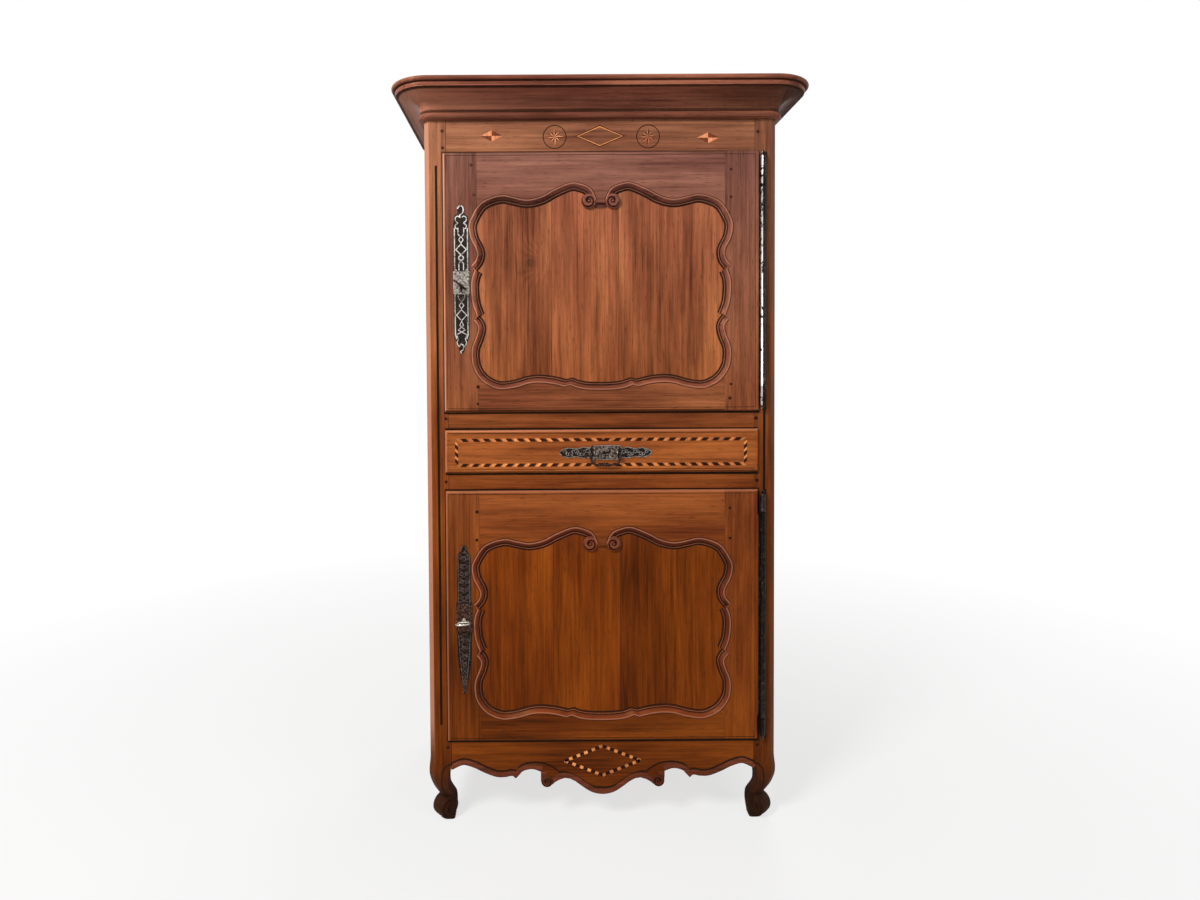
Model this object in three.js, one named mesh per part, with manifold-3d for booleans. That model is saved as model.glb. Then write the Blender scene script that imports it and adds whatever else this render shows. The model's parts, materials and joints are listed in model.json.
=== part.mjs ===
import * as THREE from 'three';
import * as BufferGeometryUtils from 'three/addons/utils/BufferGeometryUtils.js';
import Module from 'manifold-3d';

// A tall linen cabinet, one door wide: a panelled door above, a drawer, a panelled door below,
// a curved cornice on top, cabriole front legs on scroll feet, iron pin hinges and long lock plates.
// Millimetres, +Z up. The front faces -Y. The origin is on the floor under the middle of the whole.

const wasm = await Module();
wasm.setup();

// The carcass as a whole
const bodyWidth = 980;
const bodyDepth = 560;
const corniceDepth = 90;
const corniceHeight = 91;
const topBoardThickness = 20;

// What the eye meets on the front, from the floor up
const lowerDoorSill = 242;
const lowerDoorHeight = 708;
const lowerRailSight = 51;
const drawerFrontHeight = 119;
const upperRailSight = 52;
const upperDoorHeight = 717;
const friezeSight = 91;

// Posts and rails
const stileWidth = 62;
const stileDepth = 60;
const stileChamfer = 15;
const backStileDepth = 50;
const frontRailThickness = 28;
const sideRailThickness = 26;
const backRailThickness = 22;
const topRailHeight = 130;
const sideApronHeight = 120;
const sideApronRise = 34;
const backBottomRailHeight = 100;
const framePanelThickness = 12;
const framePanelTongue = 10;
const tenonThickness = 10;
const tenonLength = 32;
const tenonShoulder = 12;

// Clearances: between fixed pieces, in moving pairs, and the overrun of every cut
const fit = 0.3;
const runningGap = 0.6;
const overrun = 4;
const weldDistance = 0.001;

// Boards inside
const shelfHeight = 1450;
const shelfThickness = 18;
const shelfSetback = 45;
const floorThickness = 20;
const housingDepth = 8;
const runnerWidth = 30;
const runnerHeight = 20;

// Front legs
const legHeight = 190;
const scrollRadius = 29;
const scrollWidth = 44;
const scrollInset = 39;
const scrollRise = 44;

// Lower edge of the apron: lowest in the middle, highest at the outer arches
const apronLowest = 83;
const apronHighest = 169;

// Doors and drawer front close over the frame with a lip
const lip = 9;
const lipThickness = 12;
const doorThickness = 26;
const rebateClearance = 2;
const doorStileWidth = 94;
const mouldingWidth = 16;
const mouldingSink = 3;
const doorPanelThickness = 9;
const doorPanelSink = 7;
const doorPanelTongue = 8;
const doorTenonThickness = 8;
const doorTenonLength = 34;
const doorTenonShoulder = 8;
const doorOutlineMargin = 73;
const upperOutlineSill = 60;
const upperOutlineHead = 87;
const lowerOutlineSill = 61;
const lowerOutlineHead = 104;

// Pin hinges down the right side of each door
const hingeInset = 41;
const hingeStandOff = 13;
const hingeRadius = 8;
const hingeCollarRadius = 9;
const hingeCollarHeight = 4;
const hingeEndLength = 64;
const hingeFinialLength = 16;
const pinRadius = 4;
const hingeBoreFloor = 18;
const leafThickness = 3;
const leafReach = 34;

// Lock plates, keys, locks and bolts
const plateThickness = 2;
const plateWidth = 43;
const upperPlateAbove = 224;
const upperPlateBelow = 186;
const lowerPlateAbove = 208;
const lowerPlateBelow = 210;
const plateBar = 6;
const keyInset = 50;
const keyHeight = 348;
const keyholeRadius = 5;
const keyholeSlotWidth = 6;
const keyholeSlotHeight = 24;
const keyShankRadius = 3.5;
const keyStandOff = 22;
const keyBowWidth = 44;
const keyBowDepth = 30;
const keyBowThickness = 5;
const keyBowBar = 6;
const keyBitReach = 12;
const keyBitWidth = 9;
const keyBitThickness = 3;
const upperKeyTilt = 37;
const lowerKeyTilt = -4;
const lockCaseWidth = 74;
const lockCaseBelow = 24;
const lockCaseAbove = 42;
const lockCaseDepth = 17;
const lockWall = 3;
const boltRise = 24;
const boltHeight = 11;
const boltThickness = 6;
const boltLength = 56;
const boltTravel = 14;

// Drawer
const drawerDepth = 420;
const drawerSideThickness = 12;
const drawerSideHeight = 90;
const drawerBackThickness = 12;
const drawerBottomThickness = 8;
const drawerPlateOffset = 10;
const drawerPlateWidth = 256;
const drawerPlateHeight = 38;
const drawerLockWidth = 70;
const drawerLockHeight = 50;
const drawerLockDepth = 14;
const bailSpan = 86;
const bailDrop = 36;
const bailRadius = 3.5;
const bailCorner = 12;
const bailStandOff = 8;
const bailEyeRadius = 7;
const bailEyeWidth = 6;
const bailEyeGap = 1;
const bailStubLength = 12;
const drawerKeyholeHeight = 55;
const drawerInnerThickness = 12;
const drawerLockRise = 40;

// Heights worked out from the front
const lowerOpeningBottom = lowerDoorSill + lip;
const lowerDoorTop = lowerDoorSill + lowerDoorHeight;
const lowerOpeningTop = lowerDoorTop - lip;
const drawerFrontBottom = lowerDoorTop + lowerRailSight;
const drawerOpeningBottom = drawerFrontBottom + lip;
const drawerFrontTop = drawerFrontBottom + drawerFrontHeight;
const drawerOpeningTop = drawerFrontTop - lip;
const upperDoorSill = drawerFrontTop + upperRailSight;
const upperOpeningBottom = upperDoorSill + lip;
const upperDoorTop = upperDoorSill + upperDoorHeight;
const upperOpeningTop = upperDoorTop - lip;
const corniceBottom = upperDoorTop + friezeSight;
const totalHeight = corniceBottom + corniceHeight;
const carcassTop = totalHeight - topBoardThickness;

// Distances from the middle, worked out from the widths
const halfBody = bodyWidth / 2;
const openingHalf = halfBody - stileWidth;
const doorHalf = openingHalf + lip;
const doorInnerHalf = openingHalf - rebateClearance;
const doorOutlineHalf = doorHalf - doorOutlineMargin;
const doorBack = doorThickness - lipThickness;
const backFrameFront = bodyDepth - backRailThickness;
const sideFrameInner = halfBody - sideRailThickness;
const hingeX = halfBody - hingeInset;
const boreRadius = pinRadius + fit;

// Colours of the wood and the iron
const cherry = new THREE.MeshStandardMaterial({ color: 0x8a4a2a, roughness: 0.42, metalness: 0 });
const cherryPanel = new THREE.MeshStandardMaterial({ color: 0x95562f, roughness: 0.42, metalness: 0 });
const innerWood = new THREE.MeshStandardMaterial({ color: 0xa67c4e, roughness: 0.7, metalness: 0 });
const iron = new THREE.MeshStandardMaterial({ color: 0x3b3733, roughness: 0.38, metalness: 0.9 });

// Turns a closed geometry into a solid that can be joined and cut.
function solid(geometry) {
  geometry.deleteAttribute('normal');
  geometry.deleteAttribute('uv');
  const merged = BufferGeometryUtils.mergeVertices(geometry, weldDistance);
  const corners = merged.index.array;
  const kept = [];
  for (let i = 0; i < corners.length; i += 3) {
    const [a, b, c] = [corners[i], corners[i + 1], corners[i + 2]];
    if (a !== b && b !== c && c !== a) kept.push(a, b, c);
  }
  const vertProperties = new Float32Array(merged.attributes.position.array);
  return new wasm.Manifold(new wasm.Mesh({ numProp: 3, vertProperties, triVerts: new Uint32Array(kept) }));
}

// Gives a solid back as a three.js geometry with flat shading.
function geometryOf(part) {
  const mesh = part.getMesh();
  const geometry = new THREE.BufferGeometry();
  geometry.setAttribute('position', new THREE.BufferAttribute(new Float32Array(mesh.vertProperties), 3));
  geometry.setIndex(new THREE.BufferAttribute(new Uint32Array(mesh.triVerts), 1));
  const flat = geometry.toNonIndexed();
  flat.computeVertexNormals();
  return flat;
}

// A box between two corners; x may be given on either side of the middle.
function block([xa, xb], [ya, yb], [za, zb]) {
  const geometry = new THREE.BoxGeometry(Math.abs(xb - xa), Math.abs(yb - ya), Math.abs(zb - za));
  geometry.translate((xa + xb) / 2, (ya + yb) / 2, (za + zb) / 2);
  return solid(geometry);
}

// Directions in which an outline's first and second coordinates and its thickness run.
const planBasis = new THREE.Matrix4().makeBasis(
  new THREE.Vector3(1, 0, 0), new THREE.Vector3(0, 1, 0), new THREE.Vector3(0, 0, 1));
const frontBasis = new THREE.Matrix4().makeBasis(
  new THREE.Vector3(1, 0, 0), new THREE.Vector3(0, 0, 1), new THREE.Vector3(0, -1, 0));
const sideBasis = new THREE.Matrix4().makeBasis(
  new THREE.Vector3(0, 1, 0), new THREE.Vector3(0, 0, 1), new THREE.Vector3(1, 0, 0));

// An outline of [first, second] points given thickness along the basis's third direction.
function prism(points, basis, from, to, holes = []) {
  const shape = new THREE.Shape(points.map(([a, b]) => new THREE.Vector2(a, b)));
  for (const hole of holes) {
    shape.holes.push(new THREE.Path(hole.map(([a, b]) => new THREE.Vector2(a, b))));
  }
  const geometry = new THREE.ExtrudeGeometry(shape, { depth: to - from, bevelEnabled: false });
  geometry.translate(0, 0, from);
  geometry.applyMatrix4(basis);
  return solid(geometry);
}
const planPrism = (points, z0, z1, holes) => prism(points, planBasis, z0, z1, holes);
const frontPrism = (points, y0, y1, holes) => prism(points, frontBasis, -y1, -y0, holes);
const sidePrism = (points, x0, x1, holes) => prism(points, sideBasis, x0, x1, holes);

// A turned piece standing on its axis, from a profile of [radius, height] points.
const turnedSides = 16;
function turned(profile) {
  const points = profile.map(([radius, height]) => new THREE.Vector2(radius, height));
  const geometry = new THREE.LatheGeometry(points, turnedSides);
  geometry.rotateX(Math.PI / 2);
  return solid(geometry);
}

// A round bar along Y.
function barAlongY(radius, y0, y1, x, z) {
  const geometry = new THREE.CylinderGeometry(radius, radius, y1 - y0, turnedSides);
  geometry.translate(0, (y0 + y1) / 2, 0);
  geometry.translate(x, 0, z);
  return solid(geometry);
}

// A round bar along X.
function barAlongX(radius, x0, x1, y, z) {
  const geometry = new THREE.CylinderGeometry(radius, radius, x1 - x0, turnedSides);
  geometry.rotateZ(Math.PI / 2);
  geometry.translate((x0 + x1) / 2, y, z);
  return solid(geometry);
}

// A skin over matching rings of [x, y, z] points, closed at both ends. The rings run
// anticlockwise seen from ahead, and the contour is one of them flattened, for the end faces.
function loft(rings, contour) {
  const count = contour.length;
  const faces = [];
  for (let k = 0; k + 1 < rings.length; k += 1) {
    for (let i = 0; i < count; i += 1) {
      const a = k * count + i;
      const b = k * count + ((i + 1) % count);
      faces.push(a, b, b + count, a, b + count, a + count);
    }
  }
  const last = (rings.length - 1) * count;
  for (const [a, b, c] of THREE.ShapeUtils.triangulateShape(contour, [])) {
    faces.push(a, c, b);
    faces.push(last + a, last + b, last + c);
  }
  const geometry = new THREE.BufferGeometry();
  geometry.setAttribute('position', new THREE.BufferAttribute(new Float32Array(rings.flat(2)), 3));
  geometry.setIndex(faces);
  return solid(geometry);
}

// A round bar along a path.
const barSides = 8;
function barAlong(path, radius, steps) {
  const ring = [];
  for (let i = 0; i < barSides; i += 1) {
    const turn = 2 * Math.PI * i / barSides;
    ring.push(new THREE.Vector2(radius * Math.cos(turn), radius * Math.sin(turn)));
  }
  const geometry = new THREE.ExtrudeGeometry(new THREE.Shape(ring), { steps, extrudePath: path });
  return solid(geometry);
}

const ends = (side, a, b) => [side * a, side * b];
const cut = (body, ...cutters) => cutters.reduce((rest, cutter) => rest.subtract(cutter), body);
const join = (body, ...others) => others.reduce((whole, other) => whole.add(other), body);

// The scene graph: carcass, doors and drawer are groups whose y = 0 is the posts' front face.
const cabinet = new THREE.Group();
const frontPlane = corniceDepth - (bodyDepth + corniceDepth) / 2;

function groupAt(parent, x, y, z) {
  const group = new THREE.Group();
  group.position.set(x, y, z);
  parent.add(group);
  return group;
}

function addPiece(parent, name, part, material) {
  const mesh = new THREE.Mesh(geometryOf(part), material);
  mesh.name = name;
  parent.add(mesh);
  return mesh;
}

const carcass = groupAt(cabinet, 0, frontPlane, 0);

// Front rails, each with a tenon at both ends.
const frontRails = {
  frieze_rail: [upperOpeningTop, carcassTop],
  rail_above_drawer: [drawerOpeningTop, upperOpeningBottom],
  rail_below_drawer: [lowerOpeningTop, drawerOpeningBottom],
};
const apronTenon = [apronHighest, lowerOpeningBottom];
const tenonY = [frontRailThickness / 2 - tenonThickness / 2, frontRailThickness / 2 + tenonThickness / 2];

function railTenon(side, [z0, z1], grow) {
  const reach = openingHalf + tenonLength + grow;
  return block(
    ends(side, openingHalf - overrun, reach),
    [tenonY[0] - grow, tenonY[1] + grow],
    [z0 + tenonShoulder - grow, z1 - tenonShoulder + grow]);
}

function frontRail([z0, z1]) {
  const bar = block([-openingHalf + fit, openingHalf - fit], [0, frontRailThickness], [z0, z1]);
  return join(bar, railTenon(1, [z0, z1], 0), railTenon(-1, [z0, z1], 0));
}

for (const [name, heights] of Object.entries(frontRails)) {
  addPiece(carcass, name, frontRail(heights), cherry);
}

// Half outline of the apron's lower edge, from the post to the middle, in shares of the
// half opening and of the height between the lowest and highest points.
const apronStretchShares = [
  [[1, 0.84], [0.946, 0.97], [0.911, 1], [0.848, 0.9], [0.79, 0.755], [0.708, 0.6],
    [0.645, 0.59], [0.6, 0.63], [0.577, 0.547]],
  [[0.577, 0.547], [0.556, 0.65], [0.526, 0.79], [0.467, 0.85], [0.41, 0.76]],
  [[0.41, 0.76], [0.409, 0.5], [0.395, 0.34], [0.366, 0.27], [0.335, 0.33],
    [0.313, 0.42], [0.257, 0.545], [0.2, 0.49], [0.14, 0.28], [0.085, 0.1], [0.04, 0.022], [0, 0]],
];
const stretchSteps = 18;

function smoothStretch(shares, width, height, steps = stretchSteps) {
  const curve = new THREE.SplineCurve(shares.map(([a, b]) => new THREE.Vector2(a * width, b * height)));
  return curve.getPoints(steps);
}

function apronEdge() {
  const rise = apronHighest - apronLowest;
  const half = apronStretchShares.flatMap((shares) => smoothStretch(shares, openingHalf - fit, rise))
    .map((p) => [p.x, apronLowest + p.y]);
  const mirrored = half.slice(0, -1).reverse().map(([x, z]) => [-x, z]);
  return half.concat(mirrored);
}

function apronRail() {
  const edge = apronEdge();
  const top = [[-openingHalf + fit, lowerOpeningBottom], [openingHalf - fit, lowerOpeningBottom]];
  const board = frontPrism(edge.concat(top), 0, frontRailThickness);
  return join(board, railTenon(1, apronTenon, 0), railTenon(-1, apronTenon, 0));
}
addPiece(carcass, 'apron_rail', apronRail(), cherry);

// Side frames: rails between the posts, with one tall panel held in grooves.
const sideSpan = [stileDepth + fit, bodyDepth - backStileDepth - fit];
const sideTopRail = [carcassTop - topRailHeight, carcassTop];
const sideBottomRail = [lowerOpeningBottom - sideApronHeight, lowerOpeningBottom];
const sidePanelX = [
  halfBody - sideRailThickness / 2 - framePanelThickness / 2,
  halfBody - sideRailThickness / 2 + framePanelThickness / 2,
];
const sideTenonX = [
  halfBody - sideRailThickness / 2 - tenonThickness / 2,
  halfBody - sideRailThickness / 2 + tenonThickness / 2,
];

function sideTenons(side, [z0, z1], grow) {
  return block(
    ends(side, sideTenonX[0] - grow, sideTenonX[1] + grow),
    [sideSpan[0] - tenonLength - grow, sideSpan[1] + tenonLength + grow],
    [z0 + tenonShoulder - grow, z1 - tenonShoulder + grow]);
}

function sidePanelBlock(side, grow) {
  return block(
    ends(side, sidePanelX[0] - grow, sidePanelX[1] + grow),
    [sideSpan[0] - framePanelTongue - grow, sideSpan[1] + framePanelTongue + grow],
    [sideBottomRail[1] - framePanelTongue - grow, sideTopRail[0] + framePanelTongue + grow]);
}

function sideRail(side, heights, tenonHeights) {
  const bar = block(ends(side, sideFrameInner, halfBody), sideSpan, heights);
  return cut(join(bar, sideTenons(side, tenonHeights, 0)), sidePanelBlock(side, fit));
}

// The side apron's lower edge arches up once between its ends.
const archSteps = 16;
function sideArch(side) {
  const length = sideSpan[1] - sideSpan[0];
  const points = [];
  for (let i = 0; i <= archSteps; i += 1) {
    const share = i / archSteps;
    const rise = sideApronRise * (1 - Math.cos(2 * Math.PI * share)) / 2;
    points.push([sideSpan[0] + length * share, sideBottomRail[0] + rise]);
  }
  points.push([sideSpan[1] + overrun, sideBottomRail[0]]);
  points.push([sideSpan[1] + overrun, sideBottomRail[0] - overrun]);
  points.push([sideSpan[0] - overrun, sideBottomRail[0] - overrun]);
  points.push([sideSpan[0] - overrun, sideBottomRail[0]]);
  const x = ends(side, sideFrameInner - overrun, halfBody + overrun).sort((a, b) => a - b);
  return sidePrism(points, x[0], x[1]);
}
const sideApronTenon = [sideBottomRail[0] + sideApronRise, sideBottomRail[1] - framePanelTongue];
const sideTopTenon = [sideTopRail[0] + framePanelTongue, sideTopRail[1]];

for (const [word, side] of [['left', -1], ['right', 1]]) {
  const group = groupAt(carcass, 0, 0, 0);
  addPiece(group, `side_top_rail_${word}`, sideRail(side, sideTopRail, sideTopTenon), cherry);
  const apron = cut(sideRail(side, sideBottomRail, sideApronTenon), sideArch(side));
  addPiece(group, `side_bottom_rail_${word}`, apron, cherry);
  addPiece(group, `side_panel_${word}`, sidePanelBlock(side, 0), cherryPanel);
}

// Back frame: two rails between the back posts and one panel in grooves.
const backTopRail = [carcassTop - topRailHeight, carcassTop];
const backBottomRail = [lowerOpeningBottom - backBottomRailHeight, lowerOpeningBottom];
const backMiddle = bodyDepth - backRailThickness / 2;

function backTenons([z0, z1], grow) {
  return block(
    [-openingHalf - tenonLength - grow, openingHalf + tenonLength + grow],
    [backMiddle - tenonThickness / 2 - grow, backMiddle + tenonThickness / 2 + grow],
    [z0 + tenonShoulder - grow, z1 - tenonShoulder + grow]);
}

function backPanelBlock(grow) {
  const half = openingHalf + framePanelTongue + grow;
  return block(
    [-half, half],
    [backMiddle - framePanelThickness / 2 - grow, backMiddle + framePanelThickness / 2 + grow],
    [backBottomRail[1] - framePanelTongue - grow, backTopRail[0] + framePanelTongue + grow]);
}

const backBottomTenon = [backBottomRail[0], backBottomRail[1] - framePanelTongue];
const backTopTenon = [backTopRail[0] + framePanelTongue, backTopRail[1]];

function backRail(heights, tenonHeights) {
  const bar = block([-openingHalf + fit, openingHalf - fit], [backFrameFront, bodyDepth], heights);
  return cut(join(bar, backTenons(tenonHeights, 0)), backPanelBlock(fit));
}
addPiece(carcass, 'back_top_rail', backRail(backTopRail, backTopTenon), innerWood);
addPiece(carcass, 'back_bottom_rail', backRail(backBottomRail, backBottomTenon), innerWood);
addPiece(carcass, 'back_panel', backPanelBlock(0), innerWood);

// Shelves and floors are housed in the four posts: wide between them, notched around them.
function housedBoard(front, [z0, z1]) {
  const narrow = openingHalf + housingDepth - fit;
  const wide = sideFrameInner - fit;
  const back = backFrameFront - fit;
  const half = [[narrow, front], [narrow, sideSpan[0]], [wide, sideSpan[0]],
    [wide, sideSpan[1]], [narrow, sideSpan[1]], [narrow, back]];
  return planPrism(half.concat(half.slice().reverse().map(([x, y]) => [-x, y])), z0, z1);
}

function boardHousing(side, front, [z0, z1]) {
  return block(
    ends(side, openingHalf - overrun, openingHalf + housingDepth),
    [front - fit, backFrameFront],
    [z0 - fit, z1 + fit]);
}

const behindRails = frontRailThickness + fit;
const boards = {
  upper_shelf: [shelfSetback, [shelfHeight, shelfHeight + shelfThickness]],
  upper_floor: [behindRails, [upperOpeningBottom - floorThickness, upperOpeningBottom]],
  bottom_board: [behindRails, [lowerOpeningBottom - floorThickness, lowerOpeningBottom]],
};
for (const [name, [front, heights]] of Object.entries(boards)) {
  addPiece(carcass, name, housedBoard(front, heights), innerWood);
}
const housings = (side) => (
  Object.values(boards).map(([front, heights]) => boardHousing(side, front, heights)));

// The drawer slides on two bars fixed along the posts' inner faces.
const drawerUnderside = drawerOpeningBottom + rebateClearance;
for (const [word, side] of [['left', -1], ['right', 1]]) {
  const top = drawerUnderside - runningGap;
  const bar = block(
    ends(side, openingHalf - fit - runnerWidth, openingHalf - fit),
    [behindRails, backFrameFront - fit],
    [top - runnerHeight, top]);
  addPiece(carcass, `drawer_runner_${word}`, bar, innerWood);
}

// Plan of the body with its two chamfered front corners, grown all round.
function bodyPlan(grow) {
  const half = halfBody + grow;
  return [[-half, bodyDepth + grow], [-half, stileChamfer - grow], [-half + stileChamfer, -grow],
    [half - stileChamfer, -grow], [half, stileChamfer - grow], [half, bodyDepth + grow]];
}
addPiece(carcass, 'top_board', planPrism(bodyPlan(0), carcassTop + fit, totalHeight), innerWood);

// Levels of the cabriole leg: height, inset of the outer faces and inset of the inner faces,
// in shares of the leg's height and of the post's width.
const legLevelShares = [
  [1, 0, 1], [0.92, -0.02, 0.98], [0.82, -0.05, 0.92], [0.72, -0.04, 0.87], [0.62, 0.03, 0.85],
  [0.53, 0.12, 0.87], [0.45, 0.23, 0.96], [0.38, 0.33, 1.06], [0.31, 0.38, 1.13],
  [0.2, 0.38, 1.15], [0.1, 0.36, 1.12], [0, 0.38, 1.08],
];

// One level section of a post, with its outer front corner cut off. It runs anticlockwise.
function postSection(side, outerInset, innerInset, z) {
  const outer = halfBody - outerInset;
  const inner = halfBody - innerInset;
  const front = outerInset;
  const back = innerInset * stileDepth / stileWidth;
  const right = [[inner, front, z], [outer - stileChamfer, front, z], [outer, front + stileChamfer, z],
    [outer, back, z], [inner, back, z]];
  return side > 0 ? right : right.map(([x, y, level]) => [-x, y, level]).reverse();
}

function scrollFoot(side) {
  const geometry = new THREE.CylinderGeometry(scrollRadius, scrollRadius, scrollWidth, turnedSides);
  geometry.rotateZ(Math.PI / 2);
  geometry.rotateZ(side * Math.PI / 4);
  geometry.translate(side * (halfBody - scrollInset), scrollInset, scrollRise);
  return solid(geometry);
}

function frontLeg(side) {
  const rings = legLevelShares.map(([height, outer, inner]) => (
    postSection(side, outer * stileWidth, inner * stileWidth, height * legHeight))).reverse();
  rings.push(postSection(side, 0, stileWidth, legHeight + overrun));
  const contour = rings[0].map(([x, y]) => new THREE.Vector2(x, y));
  return join(loft(rings, contour), scrollFoot(side));
}

// Hinge slots and bolt mortises in the front posts, from each door's place.
const doorPlaces = {
  upper: {
    sill: upperDoorSill, height: upperDoorHeight, outlineSill: upperOutlineSill,
    outlineHeight: upperDoorHeight - upperOutlineSill - upperOutlineHead,
    plateAbove: upperPlateAbove, plateBelow: upperPlateBelow, keyTilt: upperKeyTilt,
  },
  lower: {
    sill: lowerDoorSill, height: lowerDoorHeight, outlineSill: lowerOutlineSill,
    outlineHeight: lowerDoorHeight - lowerOutlineSill - lowerOutlineHead,
    plateAbove: lowerPlateAbove, plateBelow: lowerPlateBelow, keyTilt: lowerKeyTilt,
  },
};
const leafMargin = 6;

const barrelWallMiddle = boreRadius + (hingeRadius - boreRadius) / 2;

// The leaf of an end knuckle, from inside its wall back into the post, round an axis at x, y.
function knuckleLeaf(x, y, [z0, z1], grow) {
  return block(
    [x - leafThickness / 2 - grow, x + leafThickness / 2 + grow],
    [y + barrelWallMiddle, y + hingeStandOff + leafReach + grow],
    [z0 - grow, z1 + grow]);
}

const lowLeaf = (place, base) => [base + hingeFinialLength, base + hingeEndLength - leafMargin];
const highLeaf = ({ height }, base) => [
  base + height - hingeEndLength + leafMargin, base + height - hingeFinialLength];

function hingeSlots(place) {
  return [lowLeaf(place, place.sill), highLeaf(place, place.sill)].map((heights) => (
    knuckleLeaf(hingeX, -hingeStandOff, heights, fit)));
}

const boltBottom = keyHeight + boltRise - boltHeight / 2;
const boltY = doorBack + fit + lockWall;

function boltMortise({ sill }) {
  const grow = runningGap;
  return block(
    [-openingHalf - boltTravel - rebateClearance, -openingHalf + overrun],
    [boltY - grow, boltY + boltThickness + grow],
    [sill + boltBottom - grow, sill + boltBottom + boltHeight + grow]);
}

function frontPost(side) {
  const section = postSection(side, 0, stileWidth, 0).map(([x, y]) => [x, y]);
  const post = join(planPrism(section, legHeight, carcassTop), frontLeg(side));
  const mortises = [...Object.values(frontRails), apronTenon].map((heights) => railTenon(side, heights, fit));
  const sideCuts = [sideTenons(side, sideTopTenon, fit), sideTenons(side, sideApronTenon, fit),
    sidePanelBlock(side, fit)];
  const places = Object.values(doorPlaces);
  const iron = side > 0 ? places.flatMap(hingeSlots) : places.map(boltMortise);
  return cut(post, ...mortises, ...sideCuts, ...housings(side), ...iron);
}

function backPost(side) {
  const post = block(
    ends(side, openingHalf, halfBody), [bodyDepth - backStileDepth, bodyDepth], [0, carcassTop]);
  return cut(post, sideTenons(side, sideTopTenon, fit), sideTenons(side, sideApronTenon, fit),
    sidePanelBlock(side, fit), backPanelBlock(fit), backTenons(backTopTenon, fit),
    backTenons(backBottomTenon, fit), ...housings(side));
}

for (const [word, side] of [['left', -1], ['right', 1]]) {
  addPiece(carcass, `front_stile_${word}`, frontPost(side), cherry);
  addPiece(carcass, `back_stile_${word}`, backPost(side), cherry);
}

// Cornice profile from the bottom up, as [overhang, height]: bead, fillet, hollow, steps, top roll.
// Each size is a share of the overhang or of the cornice's height.
const corniceCornerRadius = 24;
const beadReachShare = 0.19;
const beadHeightShare = 0.2;
const hollowStartShares = [0.13, 0.25];
const hollowEndShares = [0.8, 0.68];
const stepShares = [[0.8, 0.72], [0.87, 0.72], [0.87, 0.86]];
const topRollShares = [[0.96, 0.88], [1, 0.93], [0.99, 0.98], [0.96, 1]];
const beadSteps = 5;
const hollowSteps = 7;

function corniceProfile() {
  const shares = [[0, 0]];
  for (let i = 0; i <= beadSteps; i += 1) {
    const turn = Math.PI * (i / beadSteps - 0.5);
    const reach = beadReachShare / 2 * (1 + Math.cos(turn));
    shares.push([reach, beadHeightShare * (1 + Math.sin(turn)) / 2]);
  }
  shares.push([hollowStartShares[0], beadHeightShare]);
  for (let i = 0; i <= hollowSteps; i += 1) {
    const turn = Math.PI / 2 * (i / hollowSteps);
    shares.push([
      hollowEndShares[0] - (hollowEndShares[0] - hollowStartShares[0]) * Math.cos(turn),
      hollowStartShares[1] + (hollowEndShares[1] - hollowStartShares[1]) * Math.sin(turn),
    ]);
  }
  shares.push(...stepShares, ...topRollShares, [0, 1]);
  const points = shares.map(([a, b]) => [a * corniceDepth, corniceBottom + b * corniceHeight]);
  points[0][0] = -overrun;
  points[points.length - 1][0] = -overrun;
  return points.reverse();
}

// Stations along the cornice in plan: a point of the base line and the way the profile faces.
const cornerSteps = 4;
function cornerStations(side, from, to) {
  const centre = [side * (halfBody - corniceCornerRadius), corniceCornerRadius];
  const stations = [];
  for (let i = 0; i <= cornerSteps; i += 1) {
    const turn = from + (to - from) * i / cornerSteps;
    stations.push({ centre, radius: corniceCornerRadius, face: [side * Math.sin(turn), -Math.cos(turn)] });
  }
  return stations;
}

// Sweeps the profile through the stations, in order anticlockwise seen from above.
function corniceRun(stations) {
  const profile = corniceProfile();
  const rings = stations.map(({ centre, radius, face }) => profile.map(([offset, z]) => [
    centre[0] + face[0] * (radius + offset), centre[1] + face[1] * (radius + offset), z]));
  const contour = profile.map(([offset, z]) => new THREE.Vector2(-offset, z));
  const body = planPrism(bodyPlan(fit), corniceBottom - overrun, totalHeight + overrun);
  return cut(loft(rings, contour), body);
}

const mitre = Math.PI / 4;
const mitreGap = fit / corniceDepth;
const frontRun = [
  ...cornerStations(-1, mitre - mitreGap, 0),
  ...cornerStations(1, 0, mitre - mitreGap),
];
function sideRun(side) {
  const corner = cornerStations(side, mitre + mitreGap, Math.PI / 2);
  const rear = {
    centre: [side * (halfBody - corniceCornerRadius), bodyDepth],
    radius: corniceCornerRadius,
    face: [side, 0],
  };
  const stations = [...corner, rear];
  return side > 0 ? stations : stations.reverse();
}
addPiece(carcass, 'cornice_front', corniceRun(frontRun), cherry);
addPiece(carcass, 'cornice_side_left', corniceRun(sideRun(-1)), cherry);
addPiece(carcass, 'cornice_side_right', corniceRun(sideRun(1)), cherry);

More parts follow.
